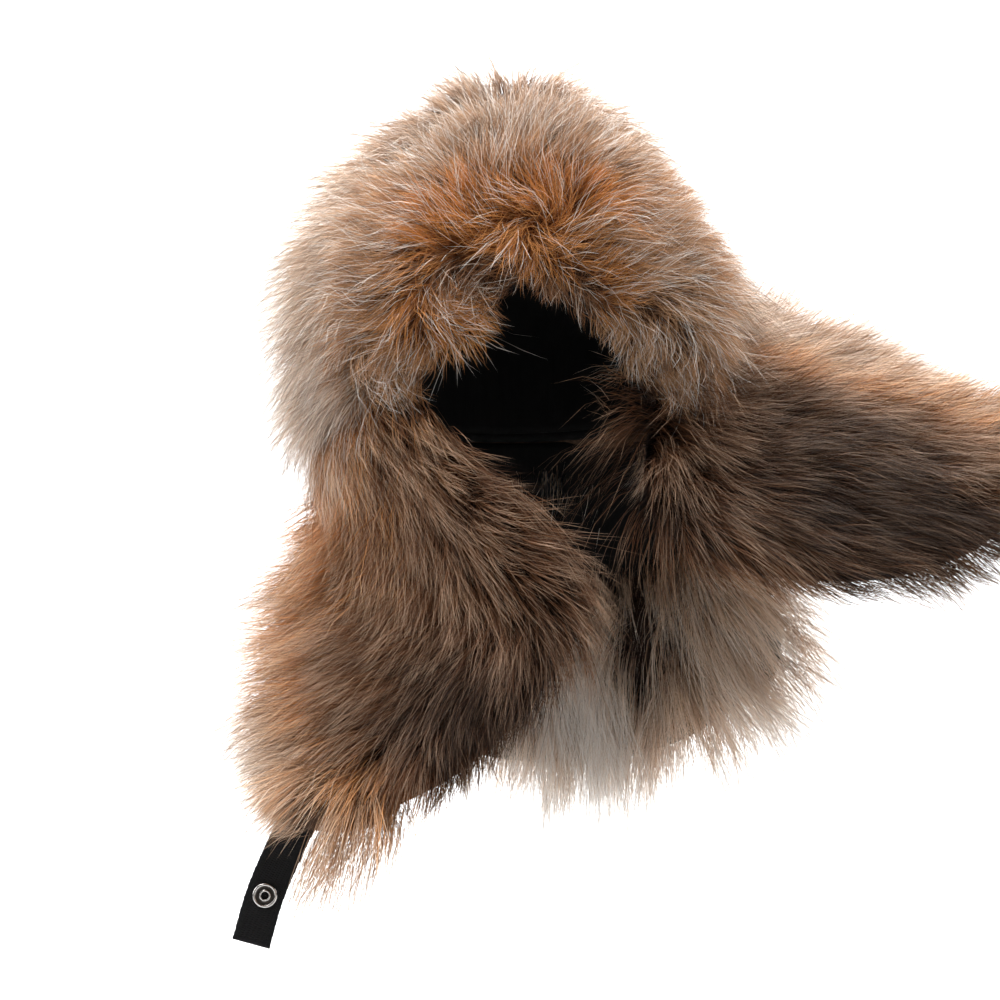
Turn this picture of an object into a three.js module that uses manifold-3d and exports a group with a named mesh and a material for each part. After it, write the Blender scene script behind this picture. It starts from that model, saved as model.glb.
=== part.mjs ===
// Fur aviator hat in millimetres, +Z up. The face opening looks along -Y and the wearer's right is -X.
// The origin is the top of the hollow for the head. The wearer's right ear flap hangs, and the left one
// is lifted out to the side.
import * as THREE from 'three';
import { mergeVertices } from 'three/addons/utils/BufferGeometryUtils.js';
import Module from 'manifold-3d';

const wasm = await Module();
wasm.setup();

const GAP = 0.35;
const DEG = Math.PI / 180;

// The hollow for the head: half width, half length and height of its dome, and its squareness.
const HEAD = { halfWidth: 80, halfLength: 98, dome: 96, power: 2.1 };
const LINING_WALL = 1.6;
const HIDE_WALL = 2;

// The rim is level round the sides and back and rises in an arch over the face.
const RIM = { sideZ: -140, browZ: -84, archAngle: 56 * DEG };

// Fur of the crown: how far the dense coat and the tips of its locks stand out from the hollow.
const CROWN = { coat: 29, top: 42, dome: 142, power: 1.75, overhang: 11, tuck: 12, lockLength: 36 };

// Forehead flap, turned up against the front of the crown.
const BROW = { halfAngle: 50 * DEG, standOff: 15, upperZ: -16, upperDrop: 40, rows: 6 };

const RING_SIDES = 24;
const CROWN_LEVELS = [0.06, 0.22, 0.46, 0.74, 1];
const COAT_ARC = 6;
const HIDE_SHARES = [-1, -0.5, 0, 0.5, 1];
const HIDE_STEP = 0.5;

// Webbing strap and snap ring.
const STRAP = { width: 20, thickness: 1.8, hemThickness: 3, hemLength: 11, snapFromEnd: 26 };
const SNAP = { rim: 6.4, ringOuter: 5.9, ringInner: 4.9, shank: 3, hole: 1.9, cap: 5.8, sides: 12 };

const COLOUR = {
  crown: 0x9a7a63,
  brow: 0x8c5a3a,
  flap: 0x7a5a45,
  neck: 0xb3a294,
  lining: 0x0b0b0c,
  webbing: 0x121213,
  metal: 0xb9babd,
};

const vec = (x, y, z) => new THREE.Vector3(x, y, z);

// A repeatable number from 0 to 1 for lock number i and use k.
function chance(i, k) {
  const s = Math.sin(i * 12.9898 + k * 78.233) * 43758.5453;
  return s - Math.floor(s);
}

// Height of the rim at an angle from the front.
function rimZ(angle) {
  const share = Math.min(Math.abs(angle) / RIM.archAngle, 1);
  return RIM.browZ + (RIM.sideZ - RIM.browZ) * (1 - Math.cos(Math.PI * share)) / 2;
}

// Radius share of a dome at height z: 0 at its top, 1 from its widest level down.
function domeShare(z, top, height, power) {
  const depth = Math.min(Math.max((top - z) / height, 0), 1);
  return Math.pow(1 - Math.pow(1 - depth, power), 1 / power);
}

// A point that stands off from the hollow by a distance, at an angle from the front and a height.
function headPoint(angle, z, off) {
  const share = domeShare(z, off, HEAD.dome + off, HEAD.power);
  const x = (HEAD.halfWidth + off) * share * Math.sin(angle);
  const y = -(HEAD.halfLength + off) * share * Math.cos(angle);
  return vec(x, y, z);
}

// A point on the crown's dense coat.
function crownPoint(angle, z, grow) {
  const share = domeShare(z, CROWN.top + grow, CROWN.dome, CROWN.power);
  const x = (HEAD.halfWidth + CROWN.coat + grow) * share * Math.sin(angle);
  const y = -(HEAD.halfLength + CROWN.coat + grow) * share * Math.cos(angle);
  return vec(x, y, z);
}

// Closed solid through loops of equal length, closed at each end by a fan to the given point or the middle.
function loft(loops, { startPoint, endPoint } = {}) {
  const count = loops[0].length;
  const points = loops.flat();
  const faces = [];
  for (let r = 0; r + 1 < loops.length; r++) {
    for (let k = 0; k < count; k++) {
      const next = (k + 1) % count;
      const a = r * count + k;
      const b = r * count + next;
      faces.push(a, b, b + count, a, b + count, a + count);
    }
  }
  const middleOf = (loop) => loop.reduce((sum, p) => sum.addScaledVector(p, 1 / count), vec(0, 0, 0));
  const last = loops.length - 1;
  const fans = [[0, startPoint ?? middleOf(loops[0]), true], [last, endPoint ?? middleOf(loops[last]), false]];
  for (const [row, point, turned] of fans) {
    const middle = points.length;
    points.push(point);
    for (let k = 0; k < count; k++) {
      const a = row * count + k;
      const b = row * count + (k + 1) % count;
      faces.push(middle, turned ? b : a, turned ? a : b);
    }
  }
  const geometry = new THREE.BufferGeometry();
  geometry.setAttribute('position', new THREE.Float32BufferAttribute(points.flatMap((p) => [p.x, p.y, p.z]), 3));
  geometry.setIndex(faces);
  return geometry;
}

// A solid for cutting and joining. One that was wound inside out is turned round.
function solidOf(geometry) {
  const bare = geometry.clone();
  bare.deleteAttribute('normal');
  bare.deleteAttribute('uv');
  const merged = mergeVertices(bare, 1e-4);
  const index = Uint32Array.from(merged.index.array);
  const xyz = Float32Array.from(merged.attributes.position.array);
  const corner = (k) => vec(xyz[3 * k], xyz[3 * k + 1], xyz[3 * k + 2]);
  let volume = 0;
  for (let f = 0; f < index.length; f += 3) {
    volume += corner(index[f]).dot(corner(index[f + 1]).cross(corner(index[f + 2])));
  }
  if (volume < 0) {
    for (let f = 0; f < index.length; f += 3) {
      [index[f], index[f + 1]] = [index[f + 1], index[f]];
    }
  }
  return new wasm.Manifold(new wasm.Mesh({ numProp: 3, vertProperties: xyz, triVerts: index }));
}

// The largest body of a solid, without the crumbs that a cut leaves.
function mainBody(solid) {
  return solid.decompose().sort((a, b) => b.volume() - a.volume())[0];
}

function joined(solids) {
  return wasm.Manifold.union(solids);
}

// Dome-shaped solid from its top down to the rim, closed below.
function domeSolid(pointAt, topZ, levels, lowRows) {
  const loops = levels.map((share) => ring((angle) => {
    const z = topZ + (rimZ(angle) - topZ) * share;
    return pointAt(angle, z);
  }));
  lowRows.forEach((row) => loops.push(ring(row)));
  return solidOf(loft(loops, { startPoint: vec(0, 0, topZ) }));
}

function ring(pointAt) {
  return Array.from({ length: RING_SIDES }, (_, k) => pointAt((k / RING_SIDES) * 2 * Math.PI - Math.PI));
}

// The space of the head with its lining, as a tool that opens what is built over it.
function headSpace(off, below) {
  const foot = (angle) => headPoint(angle, rimZ(angle), off).setZ(rimZ(angle) - below);
  return domeSolid((angle, z) => headPoint(angle, z, off), off, CROWN_LEVELS, [foot]);
}

// One lock: a bent, tapering, four-sided tuft that starts inside the coat.
function lock({ root, out, comb, length, width }, grow) {
  const across = comb.clone().cross(out).normalize();
  const at = (rise, run) => root.clone().addScaledVector(out, rise).addScaledVector(comb, run);
  const loopAt = (centre, half, thick) => [
    centre.clone().addScaledVector(across, half),
    centre.clone().addScaledVector(out, thick),
    centre.clone().addScaledVector(across, -half),
    centre.clone().addScaledVector(out, -thick),
  ];
  const foot = at(-5 - grow, -0.18 * length - grow);
  const waist = at(0.34 * length, 0.26 * length);
  const tip = at(0.52 * length + 1.5 * grow, 0.8 * length + 4 * grow);
  return solidOf(loft([
    loopAt(foot, width * 0.5 + grow, width * 0.42 + grow),
    loopAt(waist, width * 0.42 + grow, width * 0.26 + grow),
  ], { endPoint: tip }));
}

// Smooth values between the rows of a table, by the row number t.
function tableAt(rows, t) {
  const k = Math.min(Math.floor(t), rows.length - 2);
  const f = t - k;
  const row = (i) => rows[Math.min(Math.max(i, 0), rows.length - 1)];
  const mix = (i) => {
    const [p0, p1, p2, p3] = [row(k - 1)[i], row(k)[i], row(k + 1)[i], row(k + 2)[i]];
    const slope1 = (p2 - p0) / 2;
    const slope2 = (p3 - p1) / 2;
    const a = 2 * p1 - 2 * p2 + slope1 + slope2;
    const b = 3 * p2 - 3 * p1 - 2 * slope1 - slope2;
    return a * f ** 3 + b * f ** 2 + slope1 * f + p1;
  };
  return rows[0].map((_, i) => mix(i));
}

// A pelt is a hide between a front and a back edge, with fur on its outer side that rolls over the edges.
// Each row of a pelt's table: front edge x, y, z, back edge x, y, z, and how far the hide bows outwards.
function peltFrames(pelt) {
  const last = pelt.rows.length - 1;
  const middle = (t) => {
    const [fx, fy, fz, bx, by, bz] = tableAt(pelt.rows, t);
    return vec((fx + bx) / 2, (fy + by) / 2, (fz + bz) / 2);
  };
  const frameAt = (t) => {
    const [fx, fy, fz, bx, by, bz, bow] = tableAt(pelt.rows, t);
    const front = vec(fx, fy, fz);
    const back = vec(bx, by, bz);
    const side = back.clone().sub(front);
    const half = side.length() / 2;
    side.normalize();
    const along = middle(Math.min(t + 0.1, last)).sub(middle(Math.max(t - 0.1, 0))).normalize();
    const out = side.clone().cross(along).multiplyScalar(pelt.outward).normalize();
    const ahead = along.clone().addScaledVector(side, -along.dot(side)).normalize();
    return { t, centre: middle(t), side, along, ahead, out, half, bow, end: 1, beyond: 0, cap: 0 };
  };
  const frames = [];
  for (let k = 0; k <= pelt.steps; k++) {
    frames.push(frameAt((k / pelt.steps) * last));
  }
  // The fur past each free end closes round in a quarter circle.
  const closeEnd = (frame, direction, over) => [50, 82].map((angle) => ({
    ...frame,
    centre: frame.centre.clone().addScaledVector(frame.ahead, direction * over * Math.sin(angle * DEG)),
    end: Math.cos(angle * DEG),
    beyond: Math.sin(angle * DEG) * direction,
    cap: Math.sin(angle * DEG) * direction,
  }));
  if (pelt.over.end) frames.push(...closeEnd(frames[frames.length - 1], 1, pelt.over.end));
  if (pelt.over.start) frames.unshift(...closeEnd(frames[0], -1, pelt.over.start).reverse());
  return frames;
}

// How far the bowed hide stands out from its chord.
function bowAt(frame, across) {
  const edge = Math.min(Math.abs(across) / (frame.half + 1), 1);
  return frame.bow * (1 - edge * edge);
}

// A point of the hide's inner face, straight between its measured shares of the width.
function hidePoint(frame, share, drop) {
  const across = share * frame.half * frame.end;
  const step = Math.min(Math.floor((share + 1) / HIDE_STEP), HIDE_SHARES.length - 2);
  const [low, high] = [HIDE_SHARES[step], HIDE_SHARES[step + 1]];
  const rise = (s) => bowAt(frame, s * frame.half * frame.end);
  const mixed = rise(low) + ((rise(high) - rise(low)) * (share - low)) / (high - low);
  return frame.centre.clone().addScaledVector(frame.side, across).addScaledVector(frame.out, mixed - drop);
}

// A point of the dense coat, at an angle from the back edge (0) over the crest to the front edge (180).
function coatPoint(pelt, frame, angle, grow) {
  const overFront = pelt.over.front * 0.7;
  const overBack = pelt.over.back * 0.7;
  const reach = (frame.half + (overFront + overBack) / 2) * frame.end + 1.3 * grow;
  const c = Math.cos(angle);
  const s = Math.sin(angle);
  const across = ((overBack - overFront) / 2) * frame.end + Math.sign(c) * Math.abs(c) ** 0.8 * reach;
  const over = c < 0 ? pelt.over.front : pelt.over.back;
  const edge = (over ? -2 : HIDE_WALL) * frame.end * (1 - s) - grow;
  const rise = bowAt(frame, across) + (pelt.depth + 2.5 * grow) * s ** 0.72 * frame.end ** 0.6 + edge;
  return frame.centre.clone().addScaledVector(frame.side, across).addScaledVector(frame.out, rise)
    .addScaledVector(frame.ahead, 1.3 * grow * frame.cap);
}

// How far the fur on a pelt's inner side stands in from the hide: none on the half next to the front edge.
function innerDepth(pelt, frame, share) {
  return (pelt.inner ?? 0) * Math.min(Math.max(share / HIDE_STEP, 0), 1) * frame.end;
}

// The dense coat with its hide as one closed body.
function coatSolid(pelt, grow) {
  const loops = pelt.frames.map((frame) => {
    const loop = [];
    for (let k = 0; k <= COAT_ARC; k++) {
      loop.push(coatPoint(pelt, frame, (k / COAT_ARC) * Math.PI, grow));
    }
    HIDE_SHARES.forEach((share) => {
      const drop = innerDepth(pelt, frame, share) + grow;
      loop.push(hidePoint(frame, share, drop).addScaledVector(frame.ahead, 1.3 * grow * frame.cap));
    });
    return loop;
  });
  const [first] = pelt.frames;
  const push = pelt.over.start ? 1.3 * grow * first.cap : -1.3 * grow;
  if (!pelt.over.start && grow) {
    loops.unshift(loops[0].map((p) => p.clone().addScaledVector(first.ahead, push)));
  }
  const heart = (frame) => frame.centre.clone()
    .addScaledVector(frame.out, frame.bow + 0.45 * pelt.depth * frame.end ** 0.6)
    .addScaledVector(frame.ahead, frame === first ? push : 1.3 * grow * frame.cap);
  const last = pelt.frames.length - 1;
  return solidOf(loft(loops, { startPoint: heart(pelt.frames[0]), endPoint: heart(pelt.frames[last]) }));
}

// Locks in staggered rows over a pelt. They lie along its comb and spread away from its middle line.
function peltLocks(pelt) {
  const locks = [];
  const { rows, columns, length, width, along, aside, spread } = pelt.locks;
  const last = pelt.frames.length - 1;
  // No lock stands on an edge that is sewn to the rim.
  const fan = pelt.over.front ? Math.PI : 0.72 * Math.PI;
  for (let r = 0; r < rows; r++) {
    for (let c = 0; c < columns; c++) {
      const seed = r * 31 + c * 7 + pelt.rows.length;
      const place = ((r + 0.5 + 0.4 * (chance(seed, 1) - 0.5)) / rows) * last;
      const frame = pelt.frames[Math.min(Math.round(place), last)];
      const stagger = r % 2 ? 0.25 : -0.25;
      const angle = ((c + 0.5 + stagger + 0.3 * (chance(seed, 2) - 0.5)) / columns) * fan;
      const root = coatPoint(pelt, frame, angle, 0);
      const out = frame.out.clone().multiplyScalar(Math.sin(angle) + 0.15)
        .addScaledVector(frame.side, Math.cos(angle))
        .addScaledVector(frame.along, 0.7 * frame.beyond).normalize();
      const comb = frame.along.clone().multiplyScalar(along + 0.8 * frame.beyond)
        .addScaledVector(frame.side, aside + spread * Math.cos(angle));
      comb.addScaledVector(out, -comb.dot(out)).normalize();
      const size = 0.85 + 0.3 * chance(seed, 3);
      locks.push({ root, out, comb, length: length * size, width: width * size });
    }
  }
  return locks;
}

function peltBody(pelt, grow) {
  return joined([coatSolid(pelt, grow), ...pelt.lockList.map((item) => lock(item, grow))]);
}

function makePelt(settings) {
  const pelt = { ...settings };
  pelt.frames = peltFrames(pelt);
  pelt.lockList = peltLocks(pelt);
  return pelt;
}

// Wearer's right flap, hanging. Columns: front x, y, z, back x, y, z, bow.
const earRight = makePelt({
  rows: [
    [-68, -64, -141, -67, 67, -141, 19],
    [-38, -78, -176, -66, 58, -176, 13],
    [-8, -84, -214, -78, 42, -216, 9],
    [10, -86, -262, -92, 20, -260, 7],
    [-18, -84, -306, -102, 0, -302, 5],
    [-50, -78, -336, -112, -18, -332, 3],
    [-80, -66, -352, -112, -36, -348, 1],
  ],
  outward: 1,
  steps: 6,
  depth: 30,
  over: { front: 34, back: 32, start: 0, end: 24 },
  locks: { rows: 5, columns: 5, length: 44, width: 29, along: 1, aside: 0, spread: 0.8 },
});

// Wearer's left flap, lifted sideways. Columns as above; its front edge is the lower one.
const earLeft = makePelt({
  rows: [
    [68, -64, -141, 67, 67, -141, 19],
    [64, -80, -192, 98, 44, -110, 12],
    [112, -84, -220, 142, 22, -104, 9],
    [176, -80, -224, 184, 4, -120, 7],
    [226, -70, -211, 222, -12, -142, 5],
    [252, -60, -196, 250, -30, -160, 2],
  ],
  outward: -1,
  steps: 6,
  depth: 30,
  over: { front: 36, back: 30, start: 0, end: 24 },
  locks: { rows: 5, columns: 5, length: 44, width: 29, along: 1.2, aside: 0, spread: 0.6 },
});

// Neck flap. Its front edge is the seam at the rim and its back edge is the hem. Its lower half has fur on
// the inner side too.
const neck = makePelt({
  rows: [
    [-68, 70, -141, -88, 68, -272, 0],
    [-44, 92, -141, -54, 98, -296, 0],
    [0, 105, -141, 0, 110, -312, 0],
    [44, 92, -141, 54, 105, -314, 0],
    [69, 70, -141, 106, 84, -302, 0],
    [83, 38, -141, 146, 50, -270, 0],
  ],
  outward: -1,
  steps: 7,
  depth: 26,
  over: { front: 0, back: 36, start: 22, end: 24 },
  inner: 18,
  locks: { rows: 7, columns: 4, length: 42, width: 27, along: 0, aside: 1.2, spread: 0.4 },
});

// Forehead flap rows follow the rim below and the front of the crown above.
function browRows() {
  const rows = [];
  for (let k = 0; k <= BROW.rows; k++) {
    const share = (2 * k) / BROW.rows - 1;
    const angle = share * BROW.halfAngle;
    const low = headPoint(angle, rimZ(angle) + 3, BROW.standOff);
    const high = headPoint(angle, BROW.upperZ - BROW.upperDrop * share * share, BROW.standOff);
    rows.push([low.x, low.y, low.z, high.x, high.y, high.z, 7]);
  }
  return rows;
}

const brow = makePelt({
  rows: browRows(),
  outward: -1,
  steps: 6,
  depth: 24,
  over: { front: 16, back: 26, start: 18, end: 18 },
  locks: { rows: 5, columns: 4, length: 30, width: 24, along: 0, aside: -0.1, spread: 1 },
});

// Dense coat of the crown, from the top down to the rim, where it hangs a little over the flaps.
function crownCoat(grow) {
  const sideShare = (angle) => (rimZ(angle) - RIM.browZ) / (RIM.sideZ - RIM.browZ);
  const hang = (angle, share) => rimZ(angle) - grow - CROWN.overhang * share * sideShare(angle);
  const inset = (angle, z, tuck) => {
    const p = crownPoint(angle, rimZ(angle), grow);
    const flat = Math.hypot(p.x, p.y);
    return vec(p.x * (1 - tuck / flat), p.y * (1 - tuck / flat), z);
  };
  const hideFoot = (angle) => headPoint(angle, rimZ(angle), LINING_WALL + GAP).setZ(rimZ(angle) - grow);
  return domeSolid(
    (angle, z) => crownPoint(angle, z, grow),
    CROWN.top + grow,
    CROWN_LEVELS,
    [
      (angle) => inset(angle, hang(angle, 0.8), 4),
      (angle) => inset(angle, hang(angle, 1), CROWN.tuck),
      hideFoot,
    ],
  );
}

// Locks in rings round the crown. They stand out at the top and lie downwards at the sides.
function crownLocks() {
  const rings = [
    { share: 0.03, count: 4, down: 0.2 },
    { share: 0.15, count: 7, down: 0.4 },
    { share: 0.34, count: 9, down: 0.6 },
    { share: 0.57, count: 11, down: 0.8 },
    { share: 0.85, count: 11, down: 1 },
  ];
  const locks = [];
  rings.forEach(({ share, count, down }, r) => {
    for (let k = 0; k < count; k++) {
      const seed = r * 53 + k * 3;
      const angle = ((k + 0.5 * (r % 2) + 0.4 * (chance(seed, 1) - 0.5)) / count) * 2 * Math.PI - Math.PI;
      const at = share + 0.05 * (chance(seed, 2) - 0.5) * Math.min(share * 10, 1);
      const z = CROWN.top + (rimZ(angle) - CROWN.top) * at;
      const root = crownPoint(angle, z, 0);
      const lower = crownPoint(angle, z - 3, 0);
      const beside = crownPoint(angle + 0.02, z, 0);
      const fall = lower.sub(root).normalize();
      const out = beside.sub(root).cross(fall).normalize();
      if (out.dot(root.clone().setZ(root.z + 60)) < 0) out.negate();
      const comb = fall.multiplyScalar(down).add(vec(0, 0, 0.3 - down * 0.3));
      comb.addScaledVector(out, -comb.dot(out)).normalize();
      const size = 0.85 + 0.3 * chance(seed, 3);
      const lean = { root, out, comb, length: CROWN.lockLength * size, width: 29 * size };
      const underFlap = Math.abs(angle) < BROW.halfAngle && share > 0.3;
      if (!underFlap) locks.push(lean);
    }
  });
  return locks;
}

const crownLockList = crownLocks();

function crownBody(grow) {
  return joined([crownCoat(grow), ...crownLockList.map((item) => lock(item, grow))]);
}

// Black cap lining: a thin wall over the hollow.
function liningCap() {
  const outer = domeSolid((angle, z) => headPoint(angle, z, LINING_WALL), LINING_WALL, CROWN_LEVELS, []);
  return outer.subtract(headSpace(0, 20));
}

// Lining of a flap: a thin panel on the inner side of its hide where that has no fur, a little inside its
// outline.
function liningPanel(pelt, drop, firstFrame, lastFrame) {
  const wall = 1.4;
  const margin = 0.95;
  const pull = 0.06;
  const shares = HIDE_SHARES.filter((share) => !pelt.inner || share <= 0).map((share) => share * margin);
  const loops = pelt.frames.filter((frame) => frame.end === 1).slice(firstFrame, lastFrame).map((frame) => [
    ...shares.map((share) => hidePoint(frame, share, drop)),
    ...shares.toReversed().map((share) => hidePoint(frame, share, drop + wall)),
  ]);
  const drawIn = (loop, next) => loop.map((p, k) => p.clone().lerp(next[k], pull));
  const last = loops.length - 1;
  return solidOf(loft([drawIn(loops[0], loops[1]), ...loops.slice(1, last), drawIn(loops[last], loops[last - 1])]));
}

// The room under a lifted flap, where the crown has no fur of its own.
function roomUnder(pelt) {
  const loops = pelt.frames.filter((frame) => frame.end === 1).slice(0, 4).map((frame) => [
    hidePoint(frame, -1, -1),
    hidePoint(frame, 0, -1),
    hidePoint(frame, 1, -1),
    hidePoint(frame, 1, 45),
    hidePoint(frame, -1, 45),
  ]);
  return solidOf(loft(loops));
}

// A strap's middle line, with the side its face looks to. Columns: x, y, z.
const STRAP_RIGHT = [
  [-103, -46, -328],
  [-112, -44, -352],
  [-124, -41, -378],
  [-134, -40, -402],
  [-141, -40, -427],
];
const STRAP_LEFT = [
  [240, -42, -181],
  [264, -42, -184],
  [289, -41, -194],
  [308, -40, -213],
  [318, -40, -238],
];
const STRAP_FACE = vec(0, -1, 0);

function strapCurve(points) {
  return new THREE.CatmullRomCurve3(points.map(([x, y, z]) => vec(x, y, z)));
}

function strapFrame(curve, distance) {
  const share = distance / curve.getLength();
  const along = curve.getTangentAt(share);
  const across = along.clone().cross(STRAP_FACE).normalize();
  const face = across.clone().cross(along).normalize();
  return { at: curve.getPointAt(share), along, across, face };
}

// Webbing with a folded hem at its free end and a hole for the snap.
function strapSolid(points, grow) {
  const curve = strapCurve(points);
  const length = curve.getLength();
  const hemStart = length - STRAP.hemLength;
  const stops = [0, 0.15, 0.3, 0.45, 0.6, 0.72, 0.84].map((share) => share * length)
    .filter((d) => d < hemStart - 2);
  const rows = [
    ...stops.map((d) => [d, STRAP.thickness]),
    [hemStart - 0.5, STRAP.thickness],
    [hemStart, STRAP.hemThickness],
    [length, STRAP.hemThickness],
  ];
  const loops = rows.map(([distance, thickness]) => {
    const { at, across, face } = strapFrame(curve, distance);
    const half = STRAP.width / 2 + grow;
    const front = STRAP.thickness / 2 + grow;
    const back = STRAP.thickness / 2 - thickness - grow;
    return [[-half, front], [half, front], [half, back], [-half, back]].map(([a, f]) =>
      at.clone().addScaledVector(across, a).addScaledVector(face, f));
  });
  return solidOf(loft(loops));
}

// Turns +Y of a lathe to the strap's face at the snap.
function snapPlacement(points) {
  const curve = strapCurve(points);
  const frame = strapFrame(curve, curve.getLength() - STRAP.snapFromEnd);
  const turn = new THREE.Matrix4().makeBasis(frame.across.clone().negate(), frame.face, frame.along);
  return { at: frame.at, face: frame.face, across: frame.across, turn };
}

function latheAt(profile, place) {
  const shape = new THREE.LatheGeometry(profile.map(([r, h]) => new THREE.Vector2(r, h)), SNAP.sides);
  shape.applyMatrix4(place.turn);
  shape.translate(place.at.x, place.at.y, place.at.z);
  return solidOf(shape);
}

// Snap: a front ring with a recessed face and a hole, a shank through the webbing and a back cap.
function snapSolid(place) {
  const face = STRAP.thickness / 2 + GAP;
  return latheAt([
    [0, -face - 1.3],
    [SNAP.cap - 0.8, -face - 1.3],
    [SNAP.cap, -face - 0.8],
    [SNAP.cap, -face],
    [SNAP.shank, -face],
    [SNAP.shank, face],
    [SNAP.rim, face],
    [SNAP.rim, face + 1],
    [SNAP.ringOuter, face + 1.5],
    [SNAP.ringInner, face + 1.5],
    [SNAP.ringInner - 0.3, face + 0.8],
    [SNAP.hole + 1, face + 0.8],
    [SNAP.hole + 0.7, face + 1.2],
    [SNAP.hole + 0.1, face + 1.2],
    [SNAP.hole, face - 0.4],
    [0, face - 0.4],
  ], place);
}

function strapWithHole(points, place) {
  const drill = latheAt([[0, -6], [SNAP.shank + GAP, -6], [SNAP.shank + GAP, 6], [0, 6]], place);
  return strapSolid(points, 0).subtract(drill);
}

const snapPlaceRight = snapPlacement(STRAP_RIGHT);
const snapPlaceLeft = snapPlacement(STRAP_LEFT);

const SHIFT = 0.3;
const WAYS = [[0, 0, 0], [1, 0, 0], [-1, 0, 0], [0, 1, 0], [0, -1, 0], [0, 0, 1], [0, 0, -1]];

// Takes the grown tools from a solid, then what still touches its finished neighbours, with a small gap.
function fitted(solid, tools, neighbours) {
  let left = tools.reduce((body, tool) => body.subtract(tool), solid);
  neighbours.forEach((neighbour) => {
    const shared = left.intersect(neighbour);
    if (shared.volume() > 1e-6) {
      WAYS.forEach((way) => {
        left = left.subtract(shared.translate(way.map((v) => v * SHIFT)));
      });
    }
  });
  return mainBody(left);
}

const headTool = headSpace(LINING_WALL + GAP, 30);
const strapTool = joined([strapSolid(STRAP_RIGHT, GAP), strapSolid(STRAP_LEFT, GAP)]);
const browTool = peltBody(brow, 1.7 * GAP);
const earLeftTool = peltBody(earLeft, GAP);
const earRightTool = peltBody(earRight, GAP);
const crownTool = crownBody(GAP).subtract(roomUnder(earLeft));

const forehead = fitted(peltBody(brow, 0), [headTool], []);
const leftFlap = fitted(peltBody(earLeft, 0), [headTool, browTool, strapTool], [forehead]);
const crown = fitted(
  crownBody(0),
  [roomUnder(earLeft), headTool, browTool, earLeftTool],
  [forehead, leftFlap],
);
const rightFlap = fitted(
  peltBody(earRight, 0),
  [headTool, crownTool, browTool, strapTool],
  [crown, forehead],
);
const neckFlap = fitted(
  peltBody(neck, 0),
  [headTool, crownTool, earLeftTool, earRightTool],
  [crown, leftFlap, rightFlap],
);
const leftPanel = fitted(
  liningPanel(earLeft, 0.6, 2, 6),
  [headTool, crownTool, browTool, strapTool],
  [leftFlap, crown, neckFlap],
);
const rightPanel = fitted(
  liningPanel(earRight, 0.6, 0, 6),
  [headTool, crownTool, browTool, strapTool],
  [rightFlap, crown],
);
const neckPanel = fitted(
  liningPanel(neck, 0.9, 0, 8),
  [headTool, crownTool, earLeftTool, earRightTool],
  [neckFlap, crown, leftPanel, rightPanel],
);

const solids = {
  lining_cap: [liningCap(), 'lining'],
  crown_fur: [crown, 'crown'],
  forehead_flap_fur: [forehead, 'brow'],
  ear_flap_fur_right: [rightFlap, 'flap'],
  ear_flap_fur_left: [leftFlap, 'flap'],
  neck_flap_fur: [neckFlap, 'neck'],
  ear_flap_lining_right: [rightPanel, 'lining'],
  ear_flap_lining_left: [leftPanel, 'lining'],
  neck_flap_lining: [neckPanel, 'lining'],
  strap_right: [strapWithHole(STRAP_RIGHT, snapPlaceRight), 'webbing'],
  strap_left: [strapWithHole(STRAP_LEFT, snapPlaceLeft), 'webbing'],
  snap_right: [snapSolid(snapPlaceRight), 'metal'],
  snap_left: [snapSolid(snapPlaceLeft), 'metal'],
};

const FINISH = {
  crown: { roughness: 0.8, metalness: 0 },
  brow: { roughness: 0.8, metalness: 0 },
  flap: { roughness: 0.8, metalness: 0 },
  neck: { roughness: 0.8, metalness: 0 },
  lining: { roughness: 0.9, metalness: 0 },
  webbing: { roughness: 0.85, metalness: 0 },
  metal: { roughness: 0.3, metalness: 1 },
};

function meshOf(name, solid, finish) {
  const { vertProperties, triVerts } = solid.getMesh();
  const geometry = new THREE.BufferGeometry();
  geometry.setAttribute('position', new THREE.BufferAttribute(Float32Array.from(vertProperties), 3));
  geometry.setIndex(new THREE.BufferAttribute(Uint32Array.from(triVerts), 1));
  geometry.computeVertexNormals();
  const material = new THREE.MeshStandardMaterial({ color: COLOUR[finish], ...FINISH[finish] });
  const mesh = new THREE.Mesh(geometry, material);
  mesh.name = name;
  return mesh;
}

const hat = new THREE.Group();
hat.name = 'aviator_hat';
Object.entries(solids).forEach(([name, [solid, finish]]) => hat.add(meshOf(name, solid, finish)));

export default hat;
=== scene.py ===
"""Dresses the frame of a fur aviator hat with fur, lining, webbing straps and snaps.

Shapes are worked out in millimetres, with the same named sizes as the frame's source, and turned to
metres when a mesh is made.
"""

import bpy
import numpy as np
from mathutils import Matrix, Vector
from mathutils.bvhtree import BVHTree


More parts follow.
